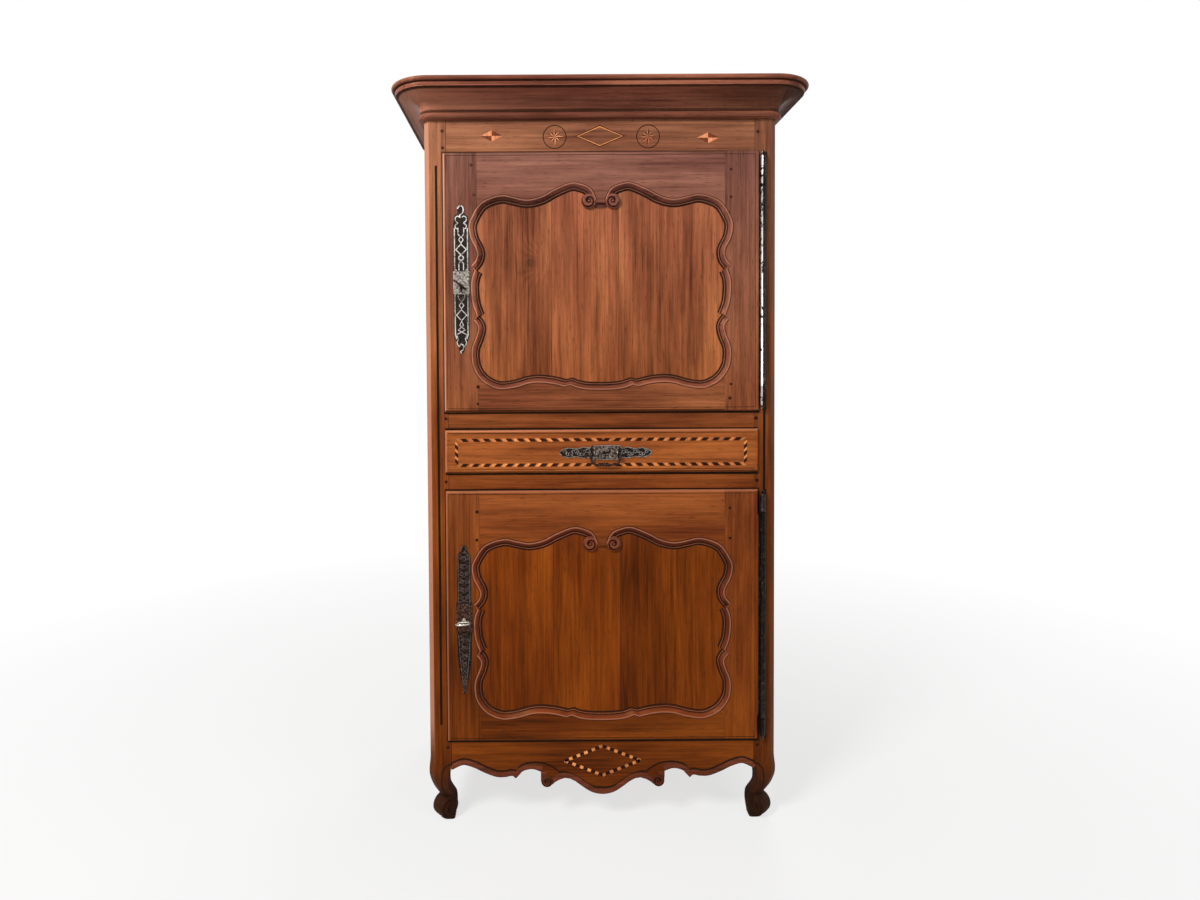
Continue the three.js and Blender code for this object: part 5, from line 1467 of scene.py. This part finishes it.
# %% Pegs
PEG_PROUD, PEG_LENGTH = 0.0006, 0.0022
PEGS = {
    "upper_door": ((-0.357, 1.853), (-0.350, 1.771), (0.360, 1.838), (0.360, 1.762),
                   (-0.343, 1.241), (-0.344, 1.194), (0.360, 1.245), (0.357, 1.206)),
    "lower_door": ((-0.349, 0.892), (-0.350, 0.813), (0.357, 0.899), (0.358, 0.814)),
    "carcass": ((-0.438, 1.950), (-0.437, 1.904), (-0.435, 1.152), (-0.436, 0.975), (0.433, 1.149),
                (-0.438, 0.220), (0.437, 1.944), (0.436, 0.974), (0.438, 0.222)),
}
peg_tree, given, result = tree_with("pegs", {
    "Radius": "Float", "Sides": "Int", "Length": "Float", "Finish": "Material"})
spots = add(peg_tree, "GeometryNodeMeshToPoints", {0: given["Geometry"]})
rod = add(peg_tree, "GeometryNodeMeshCylinder", {
    "Vertices": given["Sides"], "Radius": given["Radius"], "Depth": given["Length"]})
chance = add(peg_tree, "FunctionNodeRandomValue", {"Seed": 7}, data_type="FLOAT").outputs[1]
lean = times(peg_tree, chance, 0.3)
scale = plus(peg_tree, 0.85, times(peg_tree, chance, 0.3))
placed = add(peg_tree, "GeometryNodeInstanceOnPoints", {
    "Points": spots.outputs[0], "Instance": rod.outputs[0],
    "Rotation": vector_of(peg_tree, math.pi / 2, lean),
    "Scale": vector_of(peg_tree, scale, scale, 1.0)})
close_tree(peg_tree, given, result, placed.outputs[0])

for body, places in PEGS.items():
    radius, sides, face = (0.0058, 4, FRONT) if body == "carcass" else (
        0.0044, 14, DOORS[body.removesuffix("_door")]["face"])
    host = bpy.data.meshes.new(body + "_peg_places")
    host.from_pydata([(x, face + PEG_PROUD, z) for x, z in places], [], [])
    mesh = run_tree(peg_tree, host, {
        "Radius": radius, "Sides": sides, "Length": PEG_LENGTH, "Finish": peg_wood})
    bm = bmesh.new()
    bm.from_mesh(mesh)
    finish_mesh(mesh, bm, 40)
    new_piece(body + "_pegs", mesh, peg_wood, body)
print("pegs:", sum(len(places) for places in PEGS.values()))

# %% [markdown]
# The groove above the apron's band goes on at the post. It bends round the corner and runs down
# the front of the leg, two centimetres from its inner edge, on the leg's curved surface. Like that
# groove it is a thin strip, dark all over with painted shade.

# %% Grooves on the legs
BEND, GROOVE_HALF = 0.024, 0.0022


def leg_shares_at(z):
    """The outer and inner share of a leg's section at a height."""
    z = min(z, LEG)
    low, high = next(pair for pair in zip(leg_shares, leg_shares[1:]) if z <= pair[1][0] * LEG)
    part = (z / LEG - low[0]) / (high[0] - low[0])
    return [low[k] + part * (high[k] - low[k]) for k in (1, 2)]


bend_top = APRON_LOW + APRON_STRETCHES[0][0][1] * APRON_RISE + 0.0165
bend_low = bend_top - BEND
places = arc((-0.003, bend_low), (BEND - 0.001, BEND), 90, 0, 10)
places += [(BEND - 0.004, bend_low - k * 0.004) for k in range(1, 20)]
line = [(BODY_HALF - leg_shares_at(z)[1] * POST_WIDTH + beside, z) for beside, z in places]
bm, dirt = fresh_shape()
for side in (1, -1):
    rings = []
    for k, (x, z) in enumerate(line):
        after, before = line[min(k + 1, len(line) - 1)], line[max(k - 1, 0)]
        way = Vector((after[0] - before[0], 0, after[1] - before[1])).normalized()
        y = FRONT + leg_shares_at(z)[0] * POST_WIDTH
        across = Vector((way.z, 0, -way.x)) * min(GROOVE_HALF, 0.0005 * (len(line) - k))
        rings.append([(side * (x + a * across.x), y + deep, z + a * across.z)
                      for a, deep in ((-1, 0.001), (-1, -0.0003), (1, -0.0003), (1, 0.001))])
    loft_rings(bm, rings)
# Dark all over: painted shade.
for vert in bm.verts:
    vert[dirt] = 1.0
finished("leg_grooves", bm, apron_carved, "carcass")
print("points down each leg:", len(line))

# %% [markdown]
# The lock plates are pierced iron over a dark ground. The ground is the plate's own outline; on it
# stand bars, diamonds, rings and curls, each a bar with a rounded section swept along its line.

# %% Bars and curls
PLATE, BAR_HEIGHT = 0.0002, 0.0022


def iron_bar(bm, dirt, points, face, width, low=PLATE, high=BAR_HEIGHT, closed=False, smooth=0):
    """A bar laid along (x, z) points, through them smoothly if asked, its edges cut back."""
    half, cut = width / 2, width * 0.22
    section = [(-half, low, 0.6), (-half, high - cut, 0.1), (-half + cut, high, 0),
               (half - cut, high, 0), (half, high - cut, 0.1), (half, low, 0.6)]
    points = [tuple(p) for p in (smooth_through(points, smooth) if smooth else points)]
    swept_band(bm, dirt, points, section, face, closed=closed, mitre=1.5)


def curl(x, z, size, turn, hand, turns=1.15, count=22):
    """A spiral that opens outwards from its eye."""
    made = []
    for k in range(count):
        share = k / (count - 1)
        angle = turn + hand * 2 * math.pi * turns * share
        reach = size * (0.25 + 0.75 * share)
        made.append((x + reach * math.cos(angle), z + reach * math.sin(angle)))
    return made


def zigzags(low, high, half_low, half_high, count):
    """Two crossing zigzag lines that fill a strip between two heights."""
    lines = ([], [])
    for k in range(count + 1):
        share = k / count
        half = (half_low + (half_high - half_low) * share) * (1 if k % 2 else -1)
        z = low + (high - low) * share
        lines[0].append((half, z))
        lines[1].append((-half, z))
    return lines


print("bars stand", (BAR_HEIGHT - PLATE) * 1000, "mm high")

# %% [markdown]
# Round the keyhole the plate is a whole block, so its front is filled with triangles between its
# edge and the hole. The ground lies behind everything, and the bars are rubbed bright in front.

# %% Keyholes and grounds
GROUND, POLISH_DEPTH = 0.0008, 0.0015


def keyhole(x, z, along_x=False, grow=1.0):
    """A round hole with a slot, the slot hanging down or lying to the right."""
    made = arc((0, 0), (0.005 * grow, 0.005 * grow), -50, 230, 14)
    made += [(-0.003 * grow, -0.017), (0.003 * grow, -0.017)]
    return [(x - b, z + a) if along_x else (x + a, z + b) for a, b in made]


def keyhole_block(bm, outline, hole, face, low=PLATE):
    """A whole piece of plate with a keyhole: triangles between two outlines, front and back."""
    loops = [[Vector((x, z, 0)) for x, z in loop] for loop in (outline, hole)]
    front, rear = ([bm.verts.new((v.x, face - depth, v.y)) for loop in loops for v in loop]
                   for depth in (BAR_HEIGHT, low))
    for triangle in tessellate_polygon(loops):
        bm.faces.new([front[i] for i in triangle])
        bm.faces.new([rear[i] for i in triangle[::-1]])
    start = 0
    for loop in loops:
        for k in range(len(loop)):
            a, b = start + k, start + (k + 1) % len(loop)
            bm.faces.new((front[a], front[b], rear[b], rear[a]))
        start += len(loop)


def plate_ground(name, outline, face, body, node):
    """The dark ground of a plate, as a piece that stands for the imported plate."""
    bm, dirt = fresh_shape()
    skin(bm, [[bm.verts.new((x, face - depth, z)) for x, z in outline]
              for depth in (0.0, GROUND)])
    # The ground is darkened further: painted shade in the openwork.
    for vert in bm.verts:
        vert[dirt] = 0.75
    finished(name, bm, black_iron, body, slot_of_node[node], (node,), crease=30)


def polish_bars(bm, dirt, face, amount, block):
    """Rubs the fronts of bars bright, outside the keyhole's block (x, z, half sizes)."""
    x, z, half_width, half_height = block
    for vert in bm.verts:
        in_block = abs(vert.co.x - x) < half_width and abs(vert.co.z - z) < half_height
        if vert.co.y < face - POLISH_DEPTH and not in_block:
            vert[dirt] = -amount


print("a keyhole has", len(keyhole(0, 0)), "points")

# %% [markdown]
# The two door plates hang on the keys, so all their sizes are in millimetres from the key's centre.
# Short calls lay a bar or the keyhole's block on a plate in those sizes.

# %% Sizes from the key
KEY_X = sum(corner.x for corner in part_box("upper_key")) / 2
KEY_Z = {word: sum(corner.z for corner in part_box(f"{word}_key")) / 2 for word in DOORS}


def plate_shape(word, face):
    """A new shape, and two calls that lay a bar or a keyhole's block on it, in millimetres."""
    bm, dirt = fresh_shape()
    x, z = KEY_X, KEY_Z[word]

    def bar(width, points, closed=False, smooth=0):
        places = [(x + a / 1000, z + b / 1000) for a, b in points]
        iron_bar(bm, dirt, places, face, width / 1000, closed=closed, smooth=smooth)

    def block(outline):
        places = [(x + a / 1000, z + b / 1000) for a, b in outline]
        keyhole_block(bm, places, keyhole(x, z), face)
        rim = keyhole(x, z, grow=1.15)[::-1]
        iron_bar(bm, dirt, rim, face, 0.0014, 0.0016, 0.0030, closed=True)

    return bm, dirt, bar, block


def both_sides(bar, lines):
    """Lays bars, each (width, points, smooth), on the right and mirrored on the left."""
    for side in (1, -1):
        for width, points, smooth in lines:
            bar(width, [(side * a, b) for a, b in points], smooth=smooth)


def rhombus(middle, half_width, half_height):
    """The corners of a diamond on the plate's middle line."""
    return [(0, middle + half_height), (half_width, middle), (0, middle - half_height),
            (-half_width, middle)]


print("keys at", round(KEY_X, 4), [round(v, 4) for v in KEY_Z.values()])

# %% [markdown]
# The upper plate, from the top down: curls, a frame with diamonds and a ring, the keyhole's block,
# then a frame that tapers to curls again. What stands on both sides is written once.

# %% Pattern of the upper plate
UPPER_SIDES = (
    (3.0, ((3, 190), (9, 193), (15, 188), (14, 179), (8, 174), (15, 168), (14, 160), (8, 158)), 30),
    (4.0, ((18, 160), (18, 42)), 0),
    (3.4, ((18, -22), (17.5, -134), (14, -146)), 0),
    (2.8, ((8, 161), (8, 144), (4, 138)), 0),
    (2.8, ((14.4, 101), (18, 101)), 0),
    (2.6, ((14.4, -80), (18, -80)), 0),
    (3.0, ((18, 48), (11, 42)), 0),
    (2.6, ((14, -136), (10, -146), (13, -156), (8, -166), (3, -160)), 24),
    (2.4, ((10, -22), (8, -34), (0, -43)), 0))


def upper_plate(bar, block):
    """The upper plate's bars, the ones in pairs first."""
    both_sides(bar, UPPER_SIDES)
    bar(3.6, [(-9, 213), (-3, 221), (5, 219), (7, 208), (3, 199), (-3, 195), (-2, 188)], smooth=26)
    bar(2.6, rhombus(128, 6.5, 9), True)
    bar(3.0, rhombus(101, 14.4, 15), True)
    bar(3.0, ring_of(0, 78, 6.6, 20), True)
    bar(3.0, [(-6.5, 44), (-6.5, 63), (-3, 67), (3, 67), (6.5, 63), (6.5, 44)])
    bar(3.0, [(0, 119), (0, 115)])
    bar(2.4, rhombus(-53, 6.4, 9), True)
    bar(2.6, rhombus(-80, 14, 15), True)
    for line in zigzags(-134, -95, 14, 0.5, 3):
        bar(2.2, line)
    bar(2.8, [(-7, -168), (-2, -160), (5, -166), (3, -176), (-3, -180), (-1, -186)], smooth=22)
    block([(-22, -22.4), (22, -22.4), (22.5, 10), (22.5, 41.6), (-22.5, 41.6), (-22.5, 10)])


print("pairs of bars on the upper plate:", len(UPPER_SIDES))

# %% [markdown]
# The lower plate is a dense lattice between side bars with rows of curls, the block, and a long
# tapered end.

# %% Pattern of the lower plate
LOWER_SIDES = (
    (3.0, ((2, 188), (9, 186), (15, 180), (16, 168), (16, 52), (20, 44)), 40),
    (2.8, ((20, -34), (16, -50), (13, -100), (8, -150), (4, -188)), 40),
    (1.8, ((1, -188), (3, -194), (2, -202), (5, -208)), 16))
CURL_LEVELS = (172, 150, 128, 106, 84, 62)
TAIL_CURLS = ((-58, 6), (-80, 5.4), (-102, 4.6), (-124, 3.6))


def lower_plate(bar, block):
    """The lower plate's bars: side bars with rows of curls between them, then the lattice."""
    both_sides(bar, LOWER_SIDES)
    bar(3.4, [(-8, 192), (-6, 203), (1, 206), (6, 200), (4, 192), (-1, 188)], smooth=24)
    for side in (1, -1):
        for level in CURL_LEVELS:
            bar(1.8, curl(side * 7.5, level, 6.2, 0.3 * side, side))
        for level, reach in TAIL_CURLS:
            bar(1.6, curl(side * reach, level, reach / 1.15, 0.3 * side, side))
    for line in zigzags(48, 182, 14, 12, 12):
        bar(1.8, line)
    for line in zigzags(-186, -36, 2, 14, 13):
        bar(1.6, line)
    block([(-22, -34), (22, -34), (22.5, 44), (-22.5, 44)])


print("curls on the lower plate:", 2 * (len(CURL_LEVELS) + len(TAIL_CURLS)))

# %% [markdown]
# The grounds follow the plates' outlines, written for the right half from the top down in shares of
# the half width and of the plate's reach above and below the key.

# %% Door plates
UPPER_SHARES = ((0.1, 1), (0.45, 0.97), (0.4, 0.9), (0.85, 0.86), (1, 0.76), (1, 0.21),
                (1.08, 0.2), (1.08, -0.13), (1, -0.14), (1, -0.74), (0.75, -0.82), (0.4, -0.9),
                (0.35, -0.95), (0.1, -1))
LOWER_SHARES = ((0.2, 1), (0.42, 0.97), (0.42, 0.93), (0.78, 0.88), (0.9, 0.8), (0.92, 0.24),
                (1.08, 0.22), (1.08, -0.16), (0.98, -0.2), (0.94, -0.52), (0.74, -0.68),
                (0.42, -0.84), (0.24, -0.92), (0.08, -1))
PLATE_LIFT = 0.0001


def shares_outline(word, shares):
    """A plate's whole outline in metres, from the shares of its right half."""
    low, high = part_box(f"{word}_door_escutcheon")
    key = KEY_Z[word]
    half = (high.x - low.x) / 2 / max(share for share, _ in shares)
    right_half = [(KEY_X + a * half, key + b * (high.z - key if b > 0 else key - low.z))
                  for a, b in shares]
    return right_half + [(2 * KEY_X - x, z) for x, z in right_half[::-1]]


for word, shares, draw, finish, polish_and_highlight in (
        ("upper", UPPER_SHARES, upper_plate, bright_iron, 0.70),
        ("lower", LOWER_SHARES, lower_plate, dark_iron, 0.07)):
    face, node = DOORS[word]["face"], f"{word}_door_escutcheon"
    plate_ground(f"{word}_plate_ground", shares_outline(word, shares), face - PLATE_LIFT,
                 f"{word}_door", node)
    bm, dirt, bar, block = plate_shape(word, face - PLATE_LIFT)
    draw(bar, block)
    polish_bars(bm, dirt, face, polish_and_highlight, (KEY_X, KEY_Z[word], 0.03, 0.044))
    finished(f"{word}_plate_bars", bm, finish, f"{word}_door", slot_of_node[node], crease=30)
print("door plates made over grounds", GROUND * 1000, "mm thick")

# %% [markdown]
# Keys, hinges and the handle are turned or bent rod. A lathe turns a profile round an axis; a tube
# follows a bent line.

# %% Turned and bent rod


def lathe(bm, profile, x, y, sides=36):
    """Turns (radius, z) points round an upright axis. They start and end on the axis."""
    rows = []
    for radius, z in profile:
        places = ring_of(x, y, radius, sides) if radius > 1e-6 else [(x, y)]
        rows.append([bm.verts.new((a, b, z)) for a, b in places])
    for a, b in zip(rows, rows[1:]):
        for k in range(sides):
            j = (k + 1) % sides
            corners = [a[k % len(a)], a[j % len(a)], b[j % len(b)], b[k % len(b)]]
            bm.faces.new([v for i, v in enumerate(corners) if v not in corners[:i]])


def tube(bm, path, radius, closed=False, sides=16, up=(0, 1, 0)):
    """A rod along 3-D points, of one radius or of one for each point."""
    rows = []
    for k, point in enumerate(path):
        before = path[k - 1] if k or closed else path[k]
        after = path[(k + 1) % len(path)] if k + 1 < len(path) or closed else path[k]
        way = (Vector(after) - Vector(before)).normalized()
        beside = way.cross(Vector(up)).normalized()
        over = beside.cross(way)
        size = radius[k] if isinstance(radius, list) else radius
        rows.append([bm.verts.new(Vector(point) + beside * a + over * b)
                     for a, b in ring_of(0, 0, size, sides)])
    skin(bm, rows, closed)


print("turned and bent by:", [call.__name__ for call in (lathe, tube)])

# %% [markdown]
# Each hinge is a barrel on the door between two knuckles on the post. A knuckle ends in a small
# finial on its outer side and in a collar on its inner one; the barrel has a collar at both ends. A
# leaf joins each of them to the wood. The upper door's hinges get a painted highlight: a bright
# strip down their left side.

# %% Hinges
ROD, COLLAR, FINIAL, END = 0.0078, 0.009, 0.016, 0.064
COLLAR_HEIGHT, NECK, PLAY, LEAF, LEAF_START, LEAF_INSET = 0.004, 0.0046, 0.0002, 0.003, 0.004, 0.008
FINIAL_SHAPE = ((0, 0), (0.36, 0.06), (0.56, 0.18), (0.62, 0.32), (0.52, 0.46), (0.40, 0.56),
                (0.42, 0.64), (0.62, 0.72), (0.82, 0.84), (0.96, 1))


def collar(low, high, cut=0.0008):
    """A collar's profile with its two edges cut back."""
    return [(COLLAR - cut, low), (COLLAR, low + cut), (COLLAR, high - cut), (COLLAR - cut, high)]


def hinge_shape(profile, x, y, highlighted):
    """A turned shape, with a painted highlight down its left side if asked: a bright strip."""
    bm, dirt = fresh_shape()
    lathe(bm, profile, x, y)
    # A painted highlight: a bright strip down the left side.
    for vert in bm.verts:
        if highlighted and -0.98 * ROD < vert.co.x - x < -0.42 * ROD:
            vert[dirt] = -1.0
    return bm


knuckle = [(r * ROD, z * FINIAL) for r, z in FINIAL_SHAPE] + [(ROD, END - NECK)]
knuckle += collar(END - COLLAR_HEIGHT, END - PLAY) + [(0, END - PLAY)]
for word in DOORS:
    highlighted = word == "upper"
    low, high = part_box(f"{word}_hinge_top_knuckle")
    x, y = (low.x + high.x) / 2, low.y + (high.x - low.x) / 2
    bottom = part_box(f"{word}_hinge_bottom_knuckle")[0].z
    for part, base, way in (("top", high.z, -1), ("bottom", bottom, 1)):
        node = f"{word}_hinge_{part}_knuckle"
        bm = hinge_shape([(r, base + way * z) for r, z in knuckle], x, y, highlighted)
        levels = sorted((base + way * FINIAL, base + way * (END - LEAF_INSET)))
        add_box(bm, (x - LEAF / 2, y + LEAF_START, levels[0]),
                (x + LEAF / 2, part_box(node)[1].y, levels[1]))
        stand_in(f"{word}_knuckle_{part}", bm, hinge_iron, node)
    low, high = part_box(f"{word}_hinge_barrel")
    foot, head = low.z + PLAY, high.z - PLAY
    barrel = [(0, foot)] + collar(foot, low.z + COLLAR_HEIGHT) + [(ROD, low.z + NECK)]
    barrel += [(ROD, high.z - NECK)] + collar(high.z - COLLAR_HEIGHT, head)
    bm = hinge_shape(barrel + [(0, head)], x, y, highlighted)
    add_box(bm, (low.x + 0.002, y + LEAF, low.z + LEAF_INSET),
            (x - 0.002, y + 2 * LEAF, high.z - LEAF_INSET))
    stand_in(f"{word}_barrel", bm, hinge_iron, f"{word}_hinge_barrel")
print("hinges: barrel radius", ROD * 1000, "mm")

# %% [markdown]
# A key is a shank with two collars, a bow like a flat ring pinched in two places, and a bit that
# reaches into the lock. The upper key stands turned in its keyhole, the lower one nearly straight.

# %% Keys
SHANK = ((0.0195, 0.0030), (0.0150, 0.0034), (0.0146, 0.0047), (0.0126, 0.0047), (0.0122, 0.0034),
         (0.0066, 0.0034), (0.0062, 0.0046), (0.0050, 0.0046), (0.0046, 0.0034))
BOW_HALF, BOW_DEPTH, BOW_PLACE, BOW_POINTS = 0.0193, 0.0125, 0.037, 44
BIT_REACH, BIT_DEPTH, BIT_WIDTH, BIT_INSET = 0.012, 0.009, 0.003, 0.0006


def pinch(turn):
    """How far the bow reaches at a turn, less where it is pinched before and behind."""
    behind, before = (turn - math.pi / 2) / 0.5, (turn - 3 * math.pi / 2) / 0.45
    return 1 - 0.16 * math.exp(-behind ** 2) - 0.12 * math.exp(-before ** 2)


for word, tilt, finish in (("upper", 37, black_iron), ("lower", -4, key_iron)):
    back, face, (x, z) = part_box(f"{word}_key")[1].y, DOORS[word]["face"], (KEY_X, KEY_Z[word])
    turn = math.radians(tilt)
    along = Vector((math.cos(turn), 0, -math.sin(turn)))
    other = Vector((math.sin(turn), 0, math.cos(turn)))
    bm = bmesh.new()
    tube(bm, [(x, face - out, z) for out, _ in SHANK] + [(x, back, z)],
         [size for _, size in SHANK] + [SHANK[-1][1]], up=(0, 0, 1), sides=20)
    bow = []
    for k in range(BOW_POINTS):
        t = 2 * math.pi * k / BOW_POINTS
        depth = BOW_DEPTH * pinch(t) * math.sin(t + math.pi)
        bow.append(Vector((x, face - BOW_PLACE - depth, z)) + along * BOW_HALF * math.cos(t))
    tube(bm, bow, 0.0026, closed=True, sides=14, up=other)
    for vert in bmesh.ops.create_cube(bm, size=1)["verts"]:
        out, deep, wide = vert.co
        vert.co = (Vector((x, back - BIT_INSET + (deep - 0.5) * BIT_DEPTH, z))
                   + along * (out + 0.5) * BIT_REACH + other * wide * BIT_WIDTH)
    stand_in(f"{word}_key_rod", bm, finish, f"{word}_key")
print("bows are", BOW_HALF * 2000, "mm wide")

# %% [markdown]
# The drawer's handle is a bail: a bent rod that hangs from two studs and swells to a bead with two
# rings at its middle.

# %% Handle
BAIL = 0.0035
BAIL_SIDE = ((0, 0), (-0.0006, -0.010), (0, -0.020))
BAIL_FLOOR = ((0.004, 0.005), (0.012, 0.0006), (0.026, 0))
low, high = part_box("drawer_bail")
bail_left, bail_right, bail_low = low.x + BAIL, high.x - BAIL, low.z + BAIL
axis_z, axis_y = high.z - BAIL, (low.y + high.y) / 2
middle_x = (bail_left + bail_right) / 2
left_half = [(bail_left + a, axis_z + b) for a, b in BAIL_SIDE]
left_half += [(bail_left + a, bail_low + b) for a, b in BAIL_FLOOR]
right_half = [(2 * middle_x - x, z) for x, z in left_half[::-1]]


def bail_radius(off):
    """The rod's radius at a distance from the middle: a bead there, and a ring on each side."""
    bead, ring = math.exp(-(off / 0.0035) ** 2), math.exp(-((off - 0.0085) / 0.0014) ** 2)
    return 0.0031 + 0.0022 * bead + 0.0009 * ring


path = [(p.x, axis_y, p.y)
        for p in smooth_through(left_half + [(middle_x, bail_low)] + right_half, 88)]
bm = bmesh.new()
tube(bm, path, [bail_radius(abs(x - middle_x)) for x, _, _ in path], sides=18)
for start, way in ((bail_left, 1), (bail_right, -1)):
    tube(bm, [(start, axis_y, axis_z), (start + way * 0.012, axis_y, axis_z)], 0.0030, up=(0, 0, 1))
stand_in("bail_rod", bm, black_iron, "drawer_bail")
print("handle:", round((bail_right - bail_left) * 1000), "mm between its studs")

# %% [markdown]
# The drawer's plate is wider than it is high: a block round a keyhole that lies on its side, and
# two wings of curls over a dark ground, with the eyes that carry the handle. Its outline is written
# for the right upper quarter, in shares of the half width and height.

# %% Drawer plate
PLATE_QUARTER = ((1, 0.08), (0.93, 0.5), (0.8, 0.7), (0.64, 0.55), (0.48, 0.8), (0.34, 0.66),
                 (0.3, 1))
CURLS = ((0.050, 0.0085, 1), (0.066, 0.0075, -1), (0.082, 0.0075, 1), (0.098, 0.0080, -1),
         (0.114, 0.0062, 1))
BLOCK_X, BLOCK_Z, LACE_LOW, LACE_HIGH = 0.036, 0.017, 0.0006, 0.0020
LOOP_REACH, LOOP_RADIUS, LOOP_ROD, STUD_ROD = 0.032, 0.0050, 0.0019, 0.0032
low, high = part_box("drawer_escutcheon")
plate_x, plate_z, face = (low.x + high.x) / 2, (low.z + high.z) / 2, DRAWER["face"] - PLATE_LIFT
quarter = [(plate_x + a * (high.x - low.x) / 2, plate_z + b * (high.z - low.z) / 2)
           for a, b in PLATE_QUARTER]
outline = quarter[::-1] + [(x, 2 * plate_z - z) for x, z in quarter]
outline += [(2 * plate_x - x, z) for x, z in outline[::-1]]
plate_ground("drawer_plate_ground", outline, face, "drawer", "drawer_escutcheon")

bm, dirt = fresh_shape()
iron_bar(bm, dirt, outline, face, 0.0020, LACE_LOW, LACE_HIGH, closed=True)
hole = keyhole(plate_x - 0.004, plate_z, along_x=True)
keyhole_block(bm, rectangle(plate_x - BLOCK_X, plate_x + BLOCK_X, plate_z - BLOCK_Z,
                            plate_z + BLOCK_Z), hole[::-1], face, LACE_LOW)
for side in (1, -1):
    for reach, size, hand in CURLS:
        lift = 0.0035 * hand
        spiral = curl(plate_x + side * reach, plate_z + lift, size, 0.6 * hand, side * hand,
                      turns=1.3, count=26)
        iron_bar(bm, dirt, spiral, face, 0.0018, LACE_LOW)
        circle = ring_of(plate_x + side * (reach - 0.008), plate_z - lift, 0.0036, 14)
        iron_bar(bm, dirt, circle, face, 0.0015, LACE_LOW, LACE_HIGH, closed=True)
    eye_x = plate_x + side * LOOP_REACH
    eye = [(eye_x, y, z) for y, z in ring_of(axis_y, axis_z, LOOP_RADIUS, 24)]
    tube(bm, eye, LOOP_ROD, closed=True, sides=10, up=(1, 0, 0))
    stud = [(eye_x, axis_y + 0.004, axis_z), (eye_x, face - 0.001, axis_z)]
    tube(bm, stud, STUD_ROD, up=(0, 0, 1), sides=12)
polish_bars(bm, dirt, face, 0.22, (plate_x, plate_z, BLOCK_X + 0.0005, BLOCK_Z + 0.0005))
finished("drawer_plate_bars", bm, lace_iron, "drawer", "dark_iron", crease=30)
print("curls on the drawer plate:", 2 * len(CURLS))

# %% [markdown]
# The locks, bolts and hinge pins stay as packed, since little of them shows before a door opens.
# They only get their finish.

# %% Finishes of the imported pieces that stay
for node in ("upper_lock_case", "lower_lock_case", "upper_lock_bolt", "lower_lock_bolt",
             "drawer_lock_case", "upper_hinge_pin", "lower_hinge_pin"):
    mesh = nodes[node].data
    mesh.materials.clear()
    mesh.materials.append(dark_iron)
shown = [o for o in scene.objects if o.type == "MESH" and not o.hide_render]
print("objects shown:", len(shown))

# %% Size of the dressed cabinet
low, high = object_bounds()
print("dressed box:", [round(c, 3) for c in (*low, *high)])
